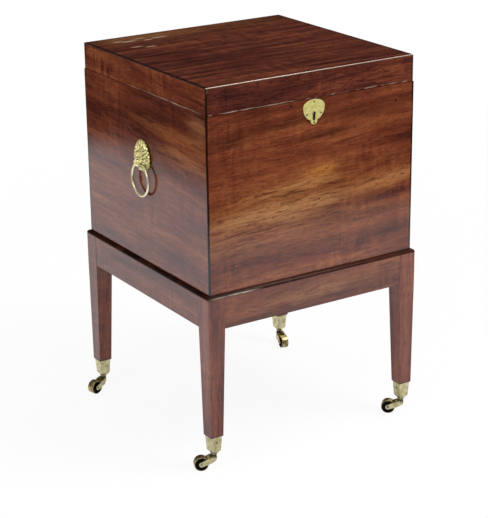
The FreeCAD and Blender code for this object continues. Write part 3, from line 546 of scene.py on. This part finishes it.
def left_wood(face, corner):
    """The left of the box: golden patches and a dark band in its upper front part."""
    return mahogany(
        "mahogany_left",
        "Y",
        shift=(0.0, 0.7, 0.3),
        slope=-1.5,
        ribs=0.05,
        lines=0.2,
        flecks=0.25,
        patches=board_patches(LEFT_PATCHES, "Y", face),
        marks=(((face, 0.051, 0.550), 0.0018), ((face, 0.105, 0.502), 0.0022)),
        edges=(corner,),
    )


def finish_box():
    """The four sides of the box, each with dark lines at its corners."""
    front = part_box("box_front")[0].y
    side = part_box("box_left")[0].x
    corner_x = ("X", -side - 0.0042, -side - 0.0020, NEARLY_BLACK, 0.95)
    corner_y = ("Y", -front - 0.0038, -front - 0.0016, NEARLY_BLACK, 0.95)
    dress(front_wood(front, corner_x), "box_front")
    dress(left_wood(side, corner_y), "box_left")
    dress(mahogany("mahogany_right", "Y", shift=(0.0, 0.1, 0.5), slope=-1.5, edges=(corner_y,)), "box_right")
    dress(mahogany("mahogany_rear", "X", shift=(0.6, 0.0, 0.8), edges=(corner_x,)), "box_rear")


SCRATCHES = (                # middle and half length of the pale scratches at the back of the lid
    (-0.158, 0.174, 0.010),
    (-0.140, 0.166, 0.013),
    (-0.118, 0.178, 0.016),
    (-0.104, 0.160, 0.009),
    (-0.078, 0.166, 0.015),
    (-0.150, 0.120, 0.012),
    (-0.128, 0.108, 0.010),
)


LID_TOP_TONES = ((0.024, 0.0058, 0.0050), (0.090, 0.0212, 0.0130), (0.185, 0.0510, 0.0225))
LID_FRONT_TONES = ((0.029, 0.0080, 0.0070), (0.100, 0.0250, 0.0155), (0.215, 0.0600, 0.0260))
SCRATCH_TONE = (0.52, 0.38, 0.26)
SCRATCH_HALF_WIDTH = 0.0032


def joint_dashes(seed, count, axis, span, fixed, joint, lengths):
    """Pale dashes at random places along the lid's lower arris, as patches: wear with a painted highlight.

    They run along axis over span, at fixed on the other axis and just above joint; lengths are the
    least and greatest half lengths. They are fainter towards the end of the span.
    """
    rng = np.random.default_rng(seed)
    dashes = []
    for index in range(count):
        share = (index + rng.uniform(0.0, 0.8)) / count
        centre = [fixed, fixed, joint + rng.uniform(0.0004, 0.0013)]
        centre[axis] = span[0] + (span[1] - span[0]) * share
        radii = [0.004, 0.004, rng.uniform(0.0006, 0.0011)]
        radii[axis] = rng.uniform(*lengths)
        dashes.append((tuple(centre), tuple(radii), LIP_WEAR_AND_HIGHLIGHT, rng.uniform(0.45, 1.0) - 0.3 * share, 0.6))
    return dashes


def lid_top_wood(high):
    """The lid's top: black at its left and right arrises, pale along its front and back arrises with wear and
    a painted highlight, and with wear and scratches at the back.
    """
    top = high.z
    lighter_marks = [
        ((-0.10, 0.185, top), (0.085, 0.024, 0.05), (0.26, 0.125, 0.045), 0.8, 0.7),
        ((0.06, 0.190, top), (0.14, 0.030, 0.05), (0.18, 0.068, 0.026), 0.6, 0.7),
        ((-0.06, 0.150, top), (0.10, 0.035, 0.05), (0.17, 0.060, 0.026), 0.4, 0.7),
    ]
    for x, y, half_length in SCRATCHES:
        lighter_marks.append(((x, y, top), (half_length, SCRATCH_HALF_WIDTH, 0.01), SCRATCH_TONE, 0.95, 0.5))
    return mahogany(
        "mahogany_lid_top",
        "X",
        tones=LID_TOP_TONES,
        shift=(0.2, 0.1, 0.0),
        figure=4.2,
        lines=0.75,
        patches=lighter_marks,
        edges=(
            ("X", high.x - 0.0062, high.x - 0.0024, NEARLY_BLACK, 0.95),
            # painted highlight with wear along the front and back arrises of the lid's top
            ("Y", high.y - 0.0016, high.y - 0.0006, PALE_WEAR_AND_HIGHLIGHT, 0.9),
        ),
    )


def lid_front_wood(low, high, joint, corner):
    """The lid's front: pale dashes of wear with a painted highlight along its lower arris, and a pale chip at
    its upper left corner.
    """
    lighter_marks = joint_dashes(11, 20, 0, (-0.203, 0.200), low.y, joint, (0.003, 0.016))
    lighter_marks.append(((low.x, low.y, high.z - 0.0040), (0.0030, 0.0030, 0.0050), PALE_WEAR_AND_HIGHLIGHT, 0.95, 0.5))
    return mahogany(
        "mahogany_lid_front",
        "X",
        LID_FRONT_TONES,
        shift=(0.9, 0.0, 0.2),
        slope=2.0,
        figure=2.8,
        lines=0.5,
        flecks=0.65,
        patches=lighter_marks,
        edges=(corner,),
    )


def lid_side_wood(low, joint, corner):
    """The lid's sides, with a few longer pale dashes along the lower arris, wear with a painted highlight."""
    return mahogany(
        "mahogany_lid_side",
        "Y",
        shift=(0.0, 0.4, 0.9),
        slope=-1.0,
        ribs=0.10,
        lines=0.2,
        patches=joint_dashes(4, 9, 1, (-0.195, 0.040), low.x, joint, (0.012, 0.028)),
        edges=(corner,),
    )


def finish_lid():
    """The lid's top, front, rear and sides, with dark lines at the corners."""
    low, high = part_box("lid_top_veneer")
    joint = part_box("lid_front")[0].z
    corner_x = ("X", high.x - 0.0034, high.x - 0.0014, NEARLY_BLACK, 0.9)
    corner_y = ("Y", high.y - 0.0034, high.y - 0.0014, NEARLY_BLACK, 0.9)
    dress(lid_top_wood(high), "lid_top_veneer")
    dress(lid_front_wood(low, high, joint, corner_x), "lid_front", "lid_rear")
    dress(lid_side_wood(low, joint, corner_y), "lid_left", "lid_right")


RAIL_TONES = ((0.052, 0.0130, 0.0090), (0.142, 0.0380, 0.0180), (0.245, 0.0800, 0.0320))
RAIL_PATCHES = ((0.0, 0.286, 0.095, 0.014, (0.27, 0.125, 0.055), 0.75, 0.8),)
LEG_TONES = ((0.058, 0.0140, 0.0110), (0.150, 0.0390, 0.0215), (0.235, 0.0720, 0.0330))
MOULDING_TONES = ((0.008, 0.0030, 0.0024), (0.022, 0.0060, 0.0042), (0.070, 0.0190, 0.0095))


def finish_rails():
    """The rails of the stand, with a golden patch in the front one."""
    patches = board_patches(RAIL_PATCHES, "X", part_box("rail_front")[0].y)
    front_wood = mahogany("mahogany_rail", "X", RAIL_TONES, (0.1, 0.0, 0.7), slope=1.5, patches=patches)
    dress(front_wood, "rail_front", "rail_rear")
    dress(mahogany("mahogany_rail_side", "Y", RAIL_TONES, (0.0, 0.9, 0.1)), "rail_left", "rail_right")


def finish_legs():
    """The legs, each with its own grain and a line of painted shade where it enters its castor."""
    for index, corner in enumerate(CORNERS):
        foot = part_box(f"castor_cup_{corner}")[1].z
        wood = mahogany(
            f"mahogany_leg_{corner}",
            "Z",
            LEG_TONES,
            shift=(0.4 + 0.3 * index, 0.2 - 0.4 * index, 0.1),
            figure=3.0,
            lines=0.2,
            # painted shade where the leg enters its castor's cup
            edges=(("Z", foot + 0.0024, foot + 0.0010, NEARLY_BLACK, 0.85),),
        )
        dress(wood, f"leg_{corner}")


def finish_moulding():
    """The nearly black moulding, with a painted highlight on its front edge, near the left corner."""
    low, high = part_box("stand_moulding")
    # painted highlight on the moulding's front edge, near the left corner
    lighter_marks = ((-0.170, low.y, high.z - 0.0045), (0.050, 0.0030, 0.0014), (0.55, 0.44, 0.37), 1.0, 0.4)
    wood = mahogany(
        "mahogany_moulding",
        "X",
        MOULDING_TONES,
        shift=(0.5, 0.5, 0.5),
        patches=(lighter_marks,),
        gloss=0.2,
        coat_rough=0.3,
    )
    dress(wood, "stand_moulding")


def finish_inside():
    """Bare mahogany inside, without varnish."""
    dress(
        mahogany("inner_wood", "X", BARE_BROWN, gloss=0.15, coat_rough=0.4),
        "box_floor", "divider_across_1", "divider_across_2", "divider_deep_1", "divider_deep_2",
        "lid_panel",
    )


# ---- metal ----
KEYHOLE_DEPTH = 0.0252       # from the top of the box to the round of the keyhole
KEYHOLE_SLOT = 0.0058        # from there down to the middle of its slot
PIN_PLACES = ((0.0, 0.0050), (-0.0144, 0.0257), (0.0144, 0.0257), (0.0005, 0.0410))  # x, below the box top
WHEEL_RIM = 0.0118           # radius inside which a castor wheel is black
HUB_RADIUS = 0.0026
CROWN_DROP = 0.0050          # from a castor's cup to the crown of its fork
FLANK_BLACK = (0.010, 0.009, 0.008)
PLATE_TONES = ((0.92, 0.84, 0.34), (0.76, 0.67, 0.21))  # bright, dull
PIN_TONES = ((0.10, 0.07, 0.035), (0.04, 0.03, 0.015))
FITTING_TONES = ((0.90, 0.80, 0.38), (0.76, 0.64, 0.26))
RING_TONES = ((1.0, 0.93, 0.62), (0.91, 0.81, 0.47))
MASK_TONES = ((1.0, 0.93, 0.47), (0.96, 0.83, 0.33))
WORN_TONES = ((0.78, 0.70, 0.42), (0.50, 0.42, 0.20))
PATINA_TONES = ((0.62, 0.50, 0.24), (0.24, 0.18, 0.08))
CUP_PIN_TONES = ((0.05, 0.035, 0.02), (0.02, 0.015, 0.01))


def blacken_wheel_flank(tree, colour, place, patch, speck, wheel):
    """Black between a wheel's hub and its rim, by the distance from the line of its axle."""
    middle, axle = wheel
    away = tree.vector("SUBTRACT", place, tuple(middle))
    radius = tree.length(tree.vector("CROSS_PRODUCT", away, tuple(axle)))
    ragged = tree.math("MULTIPLY_ADD", tree.math("SUBTRACT", patch, 0.5), 0.0012, radius)
    inside_rim = tree.smooth(ragged, WHEEL_RIM - 0.0004, WHEEL_RIM + 0.0002, 1.0, 0.0)
    outside_hub = tree.smooth(ragged, HUB_RADIUS, HUB_RADIUS + 0.0005)
    flank_colour = tree.ramp(speck, [(0.0, FLANK_BLACK), (1.0, shade(FLANK_BLACK, 4.0))])
    return tree.blend(tree.math("MULTIPLY", inside_rim, outside_hub), colour, flank_colour)


def cast_curls(tree, colour, dark, place, normal, curls):
    """Small curls cast in the mane: their bump, and painted shade in the grooves between them."""
    mane_here = tree.node("ShaderNodeAttribute", attribute_name="mane").outputs["Fac"]
    curl = tree.noise(place, 420.0, 1.0, 0.5, 0.6)
    # painted shade in the grooves between the curls
    groove = tree.math("MULTIPLY", tree.smooth(curl, 0.46, 0.36, 0.0, 0.6), mane_here)
    normal = tree.bump(curl, tree.math("MULTIPLY", mane_here, curls), 0.0012, normal)
    return tree.blend(groove, colour, dark), normal


def brass(
    name,
    bright,
    dull,
    rough=(0.24, 0.42),
    grime=0.35,
    metal=1.0,
    hollow=0.0,
    corner_shade=0.85,
    wheel=None,
    dark_spots=(),
    back=None,
    curls=0.0,
):
    """Brass, brighter and duller in patches, with grime, pits, fine scratches and painted shade in its
    corners.

    hollow is the share of darkening, painted shade with tarnish, where the mesh's own hollow attribute says
    that it lies deep.
    wheel is a castor's (middle, axle direction): inside its rim the metal is nearly black, with lighter
    flecks.
    A dark spot is (centre, radii, share), an ellipsoid darkened: about the plate's keyhole and pins, and as
    painted shade at the crown of a castor's fork, under its cup. Metal nearer than back to the middle
    of the object, sideways, is black with painted shade. curls is the depth of small curls cast in the
    mane, which the mesh's own mane attribute marks.
    """
    material, tree, place = new_material(name)
    patch = tree.noise(place, 110.0, 4.0, 0.6)
    speck = tree.smooth(tree.noise(place, 480.0, 3.0, 0.6), 0.58, 0.70)
    dark = shade(dull, 0.14)
    colour = tree.ramp(patch, [(0.38, dull), (0.60, bright)])
    colour = tree.blend(tree.math("MULTIPLY", speck, grime), colour, dark)
    # painted shade in corners that other surfaces shut in
    colour = tree.paint_corner_shade(colour, dark, reach=0.0035, samples=8, shut_in=0.35, share=corner_shade)
    # painted shade with tarnish in the mask's hollows
    if hollow:
        deep = tree.node("ShaderNodeAttribute", attribute_name="hollow").outputs["Fac"]
        colour = tree.blend(tree.math("MULTIPLY", tree.smooth(deep, 0.05, 0.75), hollow), colour, dark)
    if wheel:
        colour = blacken_wheel_flank(tree, colour, place, patch, speck, wheel)
    for centre, radii, share in dark_spots:
        colour = tree.blend(tree.math("MULTIPLY", tree.spot(place, centre, radii, 0.3), share), colour, dark)
    # painted shade: metal on the side towards the box is darkened
    if back:
        sideways = tree.math("ABSOLUTE", tree.part(place, "X"))
        colour = tree.blend(tree.smooth(sideways, back - 0.0012, back, 0.92, 0.0), colour, dark)
    scratch = tree.noise(tree.scaled(place, (1.0, 3.0, 7.0)), 300.0, 2.0)
    normal = tree.bump(tree.math("ADD", scratch, patch), 0.12, 0.0004)
    if curls:
        colour, normal = cast_curls(tree, colour, dark, place, normal, curls)
    finish_material(
        tree,
        Base_Color=colour,
        Metallic=metal,
        Roughness=tree.smooth(patch, 0.3, 0.7, rough[1], rough[0]),
        Normal=normal,
    )
    return material


def steel(name):
    """Dull steel with slight rust in patches."""
    material, tree, place = new_material(name)
    patch = tree.noise(place, 160.0, 4.0, 0.6)
    colour = tree.ramp(patch, [(0.45, (0.30, 0.29, 0.27)), (0.65, (0.16, 0.10, 0.07))])
    finish_material(
        tree,
        Base_Color=colour,
        Metallic=1.0,
        Roughness=tree.smooth(patch, 0.3, 0.7, 0.35, 0.6),
        Normal=tree.bump(patch, 0.1, 0.0003),
    )
    return material


def lock_metal():
    """The inside of the lock, nearly black, and a painted highlight on the tip of the drill pin."""
    material, tree, place = new_material("brass_lock")
    tip_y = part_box("lock_back")[0].y
    tip_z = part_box("box_front")[1].z - KEYHOLE_DEPTH
    # painted highlight on the tip of the drill pin, seen through the keyhole
    tip = tree.spot(place, (0.0, tip_y, tip_z), (0.0016, 0.0016, 0.0016), 0.3)
    patch = tree.noise(place, 300.0, 3.0, 0.6)
    lock_black = tree.ramp(patch, [(0.40, (0.012, 0.009, 0.005)), (0.65, (0.050, 0.038, 0.020))])
    finish_material(
        tree,
        Base_Color=tree.blend(tip, lock_black, (0.90, 0.86, 0.70)),
        Roughness=tree.smooth(patch, 0.3, 0.7, 0.5, 0.7),
        Normal=tree.bump(patch, 0.1, 0.0003),
    )
    return material


def points_of(parts, what):
    """The vectors of a mesh's vertices or faces as an array of rows."""
    rows = np.zeros(len(parts) * 3)
    parts.foreach_get(what, rows)
    return rows.reshape(-1, 3)


def axle_line(corner):
    """The middle of a castor's axle, and its direction: the long axis of its own vertices."""
    places = points_of(NODES[f"castor_axle_{corner}"].data.vertices, "co")
    middle = (places.min(0) + places.max(0)) / 2
    return middle, np.linalg.svd(places - places.mean(0), full_matrices=False)[2][0]


def finish_escutcheon():
    """The plate, dark around its keyhole and its pins, and the pins in it."""
    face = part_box("escutcheon")[0].y
    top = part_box("box_front")[1].z
    dark_spots = [
        ((0.0, face, top - KEYHOLE_DEPTH), (0.0037, 0.003, 0.0037), 0.95),
        ((0.0, face, top - KEYHOLE_DEPTH - KEYHOLE_SLOT), (0.0030, 0.003, 0.0068), 0.95),
    ]
    dark_spots += [((x, face, top - depth), (0.0018, 0.003, 0.0018), 0.9) for x, depth in PIN_PLACES]
    dress(brass("brass_plate", *PLATE_TONES, (0.36, 0.50), 0.25, 0.5, dark_spots=dark_spots), "escutcheon")
    dress(brass("brass_pins", *PIN_TONES, (0.4, 0.6), 0.4, 0.7), "escutcheon_pins")


def finish_fittings():
    """Hinges, lock, screws and nuts, and the two rings, with painted shade on the side towards the box."""
    dress(
        brass("brass_fittings", *FITTING_TONES),
        "handle_nuts", "hinge_pins", "box_screws", "lid_screws",
        "hinge_box_leaf_left", "hinge_box_leaf_right", "hinge_lid_leaf_left", "hinge_lid_leaf_right",
        "lock_case", "link_plate",
    )
    low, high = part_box("ring_left")
    plane = -(low.x + high.x) / 2
    # back=plane paints shade on the side of each ring towards the box
    ring = brass("brass_ring", *RING_TONES, (0.28, 0.42), 0.2, 0.8, back=plane)
    dress(ring, "ring_left", "ring_right")
    dress(lock_metal(), "lock_back")


def finish_castors():
    """The castors' cups and their screws, forks with painted shade at the crown, and wheels black inside the
    rim.
    """
    for corner in CORNERS:
        low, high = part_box(f"castor_cup_{corner}")
        crown = ((low.x + high.x) / 2, (low.y + high.y) / 2, low.z - CROWN_DROP)
        # painted shade at the crown of the fork, under the cup
        dark_spots = ((crown, (0.0075, 0.0075, 0.0055), 0.9),)
        fork = brass(f"brass_fork_{corner}", *WORN_TONES, (0.30, 0.50), 0.7, dark_spots=dark_spots)
        dress(fork, f"castor_fork_{corner}")
        wheel = brass(f"brass_wheel_{corner}", *PATINA_TONES, (0.34, 0.55), 0.8, wheel=axle_line(corner))
        dress(wheel, f"castor_wheel_{corner}")
    dress(brass("brass_cups", *WORN_TONES, (0.26, 0.46), 0.5), *[f"castor_cup_{c}" for c in CORNERS])
    dress(brass("cup_pins", *CUP_PIN_TONES, (0.4, 0.6), 0.5), "castor_screws")


def finish_steel():
    """Steel for the bolt of the lock and the castors' axles."""
    dress(steel("steel"), "lock_bolt", *[f"castor_axle_{c}" for c in CORNERS])


# ---- lion masks ----
# Lengths in millimetres, in the mask's own plane: u to its right, v up from its middle.
MASK_HALF_WIDTH = 26.4
MASK_HALF_HEIGHT = 28.7
MASK_ROWS = 124
MASK_COLUMNS = 180
HOLLOW_REACH = 1.5           # how far off a place its surroundings are measured
HOLLOW_PLACES = 8
RIM_HEIGHT = 1.9             # off the box side
DOME_RISE = 7.4              # above the rim, at the middle
EAR_PLACE = (9.6, 8.2)
LEAST_HEIGHT = 0.5
GREATEST_HEIGHT = 19.4
RING_ROOM = 4.8              # greatest height behind the ring, in the middle
RING_ROOM_EDGE = 0.9         # how much less that is at 25 mm sideways
LIP_DROP = 6.5               # how far the lip is moved down over the ring
LIP_HEIGHTS = (12.6, 14.6)   # off the box side, where that begins and is full
LIP_SPAN = (3.0, 10.0)       # the same, below the middle
FACE_MIDDLE = -3.0           # above the middle of the mask
FACE_RADIUS = 11.5
CHIN_RADIUS = 17.0           # of the face below its own middle
LOCK_ROWS = (                # share of the way to the edge, count, half length, half width, height
    (0.50, 12, 3.6, 2.2, 2.1),
    (0.65, 15, 3.7, 2.3, 2.4),
    (0.79, 19, 3.7, 2.3, 2.5),
    (0.93, 22, 3.6, 2.4, 2.2),
)


def step(value, low, high):
    """0 below low, 1 above high, and a smooth step between them."""
    share = np.clip((value - low) / (high - low), 0.0, 1.0)
    return share * share * (3.0 - 2.0 * share)


def hump(u, v, centre, radii, height, power=1.0, turn=0.0):
    """height times (1 - distance squared) to a power, over an ellipse turned by degrees; 0 outside it."""
    angle = math.radians(turn)
    du, dv = u - centre[0], v - centre[1]
    along = (du * math.cos(angle) + dv * math.sin(angle)) / radii[0]
    across = (dv * math.cos(angle) - du * math.sin(angle)) / radii[1]
    return height * np.clip(1.0 - along**2 - across**2, 0.0, None) ** power


def mask_outline(angle):
    """Distance from the middle to the edge, in mm: an ellipse, narrower above and scalloped."""
    lift = np.sin(angle)
    wide = MASK_HALF_WIDTH * (1.0 - 0.15 * step(lift, -0.35, 1.0))
    plain = 1.0 / np.sqrt((np.cos(angle) / wide) ** 2 + (lift / MASK_HALF_HEIGHT) ** 2)
    return plain * (1.0 - 0.04 * (0.5 - 0.5 * np.cos(LOCK_ROWS[-1][1] * (angle - math.pi / 2))))


def mane(u, v):
    """Curls in rows around the face: each a ridge bent to an S, grooved, drooping outwards."""
    rng = np.random.default_rng(7)
    hair = np.zeros_like(u)
    for number, (row, count, half_length, half_width, height) in enumerate(LOCK_ROWS):
        for index in range(count):
            angle = math.pi / 2 + 2 * math.pi * (index + 0.5 * (number % 2)) / count
            reach = row * float(mask_outline(np.array(angle)))
            cu, cv = reach * math.cos(angle), reach * math.sin(angle)
            heading = math.atan2(math.sin(angle) - 0.45, math.cos(angle)) + rng.uniform(-0.14, 0.14)
            du, dv = u - cu, v - cv
            along = (du * math.cos(heading) + dv * math.sin(heading)) / half_length
            side = 1.0 if math.cos(angle) >= 0 else -1.0
            across = (dv * math.cos(heading) - du * math.sin(heading)) / half_width
            across = across - side * 0.50 * np.sin(along * 2.8)
            ridge = np.clip(1.0 - along**2 - across**2, 0.0, None) ** 0.5
            groove = 1.0 - 0.32 * np.exp(-((across / 0.16) ** 2))
            hair = np.maximum(hair, height * (1.0 + rng.uniform(-0.15, 0.15)) * ridge * groove)
    return hair


def whisker_pits(u, v):
    """Three rows of small pits on each side of the muzzle."""
    pits = np.zeros_like(u)
    for side in (-1.0, 1.0):
        for row, start in ((-7.6, 3.6), (-9.0, 3.0), (-10.4, 3.4)):
            for place in (0.0, 1.5, 3.0):
                pits += hump(u, v, (side * (start + place), row - 0.12 * place), (0.42, 0.42), 0.45, 1.0)
    return pits


def face(u, v):
    """Forehead, brows, eyes, cheeks, nose and muzzle, each a hump or a hollow."""
    form = hump(u, v, (0.0, -3.0), (12.0, 14.5), 3.2, 0.7)
    form += hump(u, v, (0.0, -3.5), (5.4, 9.5), 2.6, 0.8)
    form += hump(u, v, (0.0, 6.0), (6.5, 5.0), 1.2, 0.8)
    for side in (-1.0, 1.0):
        form += hump(u, v, (side * 5.6, 2.9), (4.9, 2.0), 2.4, 0.8, side * 26.0)
        form -= hump(u, v, (side * 5.0, -0.4), (3.4, 2.3), 2.2, 0.8, side * 14.0)
        form += hump(u, v, (side * 4.9, -0.5), (1.7, 1.25), 2.0, 0.5, side * 14.0)
        form += hump(u, v, (side * 8.8, -4.6), (3.8, 4.2), 1.6, 0.8)
        form += hump(u, v, (side * 3.7, -8.6), (5.0, 4.1), 4.4, 0.55, side * -10.0)
        form -= hump(u, v, (side * 1.9, -6.3), (1.1, 0.75), 1.3, 0.6, side * 25.0)
    form += hump(u, v, (0.0, -2.0), (3.0, 6.8), 1.3, 0.7)
    form += hump(u, v, (0.0, -5.7), (3.7, 2.1), 2.0, 0.7)
    form -= 1.3 * np.exp(-((u / 0.5) ** 2)) * step(v, -12.5, -11.5) * step(-v, 6.9, 7.9)
    form -= 1.0 * np.exp(-((u / 0.7) ** 2)) * step(v, 2.0, 4.0) * step(-v, -10.5, -7.5)
    return form - whisker_pits(u, v)


def mane_share(u, v):
    """0 on the face and 1 in the mane around it."""
    tall = np.where(v > FACE_MIDDLE, FACE_RADIUS, CHIN_RADIUS)
    return step(np.hypot(u / FACE_RADIUS, (v - FACE_MIDDLE) / tall), 0.80, 1.05)


def mask_height(u, v):
    """Height of the mask off the box side, at a place right and above of its middle.

    The dome, the face, and the greater of curls and ears are added up. Below the upper lip the form
    stays low behind the ring, but for the chin, which stands inside the ring.
    """
    angle = np.arctan2(v, u)
    out = np.clip(np.hypot(u, v) / mask_outline(angle), 0.0, 1.0)
    above = step(v, -13.2, -10.4)
    dome = RIM_HEIGHT + DOME_RISE * (1.0 - out**2) ** 0.6 * (0.03 + 0.97 * above)
    hair_share = mane_share(u, v)
    front = face(u, v) * step(v, -12.9, -11.3) * (1.0 - 0.9 * hair_share)
    ears = sum(
        hump(u, v, (side * EAR_PLACE[0], EAR_PLACE[1]), (3.1, 2.6), 3.2, 0.5, side * 40.0)
        - hump(u, v, (side * 9.7, 8.1), (1.7, 1.3), 2.4, 0.7, side * 40.0)
        for side in (-1.0, 1.0)
    )
    form = dome + front + np.maximum(mane(u, v) * hair_share, ears)
    below = step(-v, 18.2, 19.6) * step(-np.abs(u), -6.0, -4.4)
    chin = hump(u, v, (0.0, -22.2), (5.8, 4.6), 7.0, 0.8)
    tuft = 0.8 * np.cos(u * 2.6) * step(-v, 21.0, 24.0)
    form = form + (chin + tuft) * below
    room = RING_ROOM - RING_ROOM_EDGE * (np.abs(u) / 25.0) ** 2.2
    free = 20.0 * step(v, -12.0, -11.0) + 20.0 * below
    return np.clip(np.minimum(form, room + free), LEAST_HEIGHT, GREATEST_HEIGHT)


def polar_grid():
    """The mask's middle, then rows of places out to its edge, as arrays of u and v."""
    angle = np.linspace(0.0, 2 * math.pi, MASK_COLUMNS, endpoint=False)
    share = np.linspace(0.0, 1.0, MASK_ROWS + 1)[1:] ** 0.85
    radius = share[:, None] * mask_outline(angle)[None, :]
    u = np.append(0.0, (radius * np.cos(angle)).ravel())
    v = np.append(0.0, (radius * np.sin(angle)).ravel())
    return u, v


def hollows(u, v, height):
    """The mean height of places all round each place, less the place's own height."""
    turns = np.linspace(0.0, 2 * math.pi, HOLLOW_PLACES, endpoint=False)
    shifts = [(HOLLOW_REACH * math.cos(a), HOLLOW_REACH * math.sin(a)) for a in turns]
    return np.mean([mask_height(u + du, v + dv) for du, dv in shifts], axis=0) - height


def mask_mesh(name, places, values):
    """Quads between the rows, a fan over the middle and a fan that closes the back.

    places holds the middle, MASK_ROWS rows, the edge on the box side, and the middle of the back.
    values holds the mesh's own attributes, each an array with a number for every place.
    """
    grid = 1 + np.arange((MASK_ROWS + 1) * MASK_COLUMNS).reshape(MASK_ROWS + 1, MASK_COLUMNS)
    turned = np.roll(grid, -1, axis=1)
    quads = np.stack([grid[:-1], grid[1:], turned[1:], turned[:-1]], axis=-1).reshape(-1, 4)
    front = np.stack([np.zeros(MASK_COLUMNS, int), grid[0], turned[0]], axis=1)
    back = np.stack([np.full(MASK_COLUMNS, len(places) - 1), turned[-1], grid[-1]], axis=1)
    mesh = bpy.data.meshes.new(name)
    mesh.from_pydata(places.tolist(), [], front.tolist() + quads.tolist() + back.tolist())
    mesh.polygons.foreach_set("use_smooth", np.ones(len(mesh.polygons), bool))
    for key, numbers in values.items():
        attribute = mesh.attributes.new(key, "FLOAT", "POINT")
        attribute.data.foreach_set("value", numbers.astype(np.float32))
    mesh.update()
    return mesh


def sculpt_mask(side, sign):
    """A lion's mask: a polar grid raised to mask_height off the box side; sign is 1 on the right.

    The higher the lower half of the muzzle stands, the further down it is moved, so that the upper
    lip hangs over the ring. The outermost row is repeated on the box side.
    """
    u, v = polar_grid()
    height = mask_height(u, v)
    behind = MASK_COLUMNS + 1
    values = {
        "hollow": np.append(hollows(u, v, height), np.full(behind, 0.6)),
        "mane": np.append(mane_share(u, v), np.zeros(behind)),
    }
    v = v - LIP_DROP * step(height, *LIP_HEIGHTS) * step(-v, *LIP_SPAN)
    u = np.concatenate([u, u[-MASK_COLUMNS:], [0.0]])
    v = np.concatenate([v, v[-MASK_COLUMNS:], [0.0]])
    height = np.append(height, np.zeros(behind))

    low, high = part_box(f"lion_mask_{side}")
    middle = (low + high) / 2
    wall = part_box("box_right")[1].x if sign > 0 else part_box("box_left")[0].x
    places = np.stack([wall + sign * height * MM, middle.y + sign * u * MM, middle.z + v * MM], axis=1)
    mesh = mask_mesh(f"sculpted_mask_{side}", places, values)
    mask = bpy.data.objects.new(f"sculpted_mask_{side}", mesh)
    bpy.context.collection.objects.link(mask)
    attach(mask, "box_and_stand")
    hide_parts(f"lion_mask_{side}")
    return mask


def hang_masks():
    """The two masks, in brass with painted shade and tarnish in their hollows."""
    material = brass(
        "brass_mask",
        *MASK_TONES,
        rough=(0.18, 0.30),
        grime=0.08,
        metal=0.50,
        hollow=1.05,
        corner_shade=0.6,
        curls=0.45,
    )
    for side, sign in (("left", -1.0), ("right", 1.0)):
        sculpt_mask(side, sign).data.materials.append(material)


place_camera()
lay_paper()
light_room()
light_stage()
finish_box()
finish_lid()
finish_rails()
finish_legs()
finish_moulding()
finish_inside()
finish_escutcheon()
finish_fittings()
finish_castors()
finish_steel()
hang_masks()
soften(
    WOOD_ARRIS,
    "box_front", "box_left", "box_right", "box_rear", "lid_top_veneer", "lid_front", "lid_left",
    "lid_right", "lid_rear", "rail_front", "rail_left", "rail_right", "rail_rear", "stand_moulding",
    *[f"leg_{c}" for c in CORNERS],
)
soften(
    BRASS_ARRIS,
    "escutcheon",
    *[f"castor_{part}_{corner}" for part in ("cup", "fork", "wheel") for corner in CORNERS],
)
bpy.context.scene.view_settings.view_transform = "Standard"
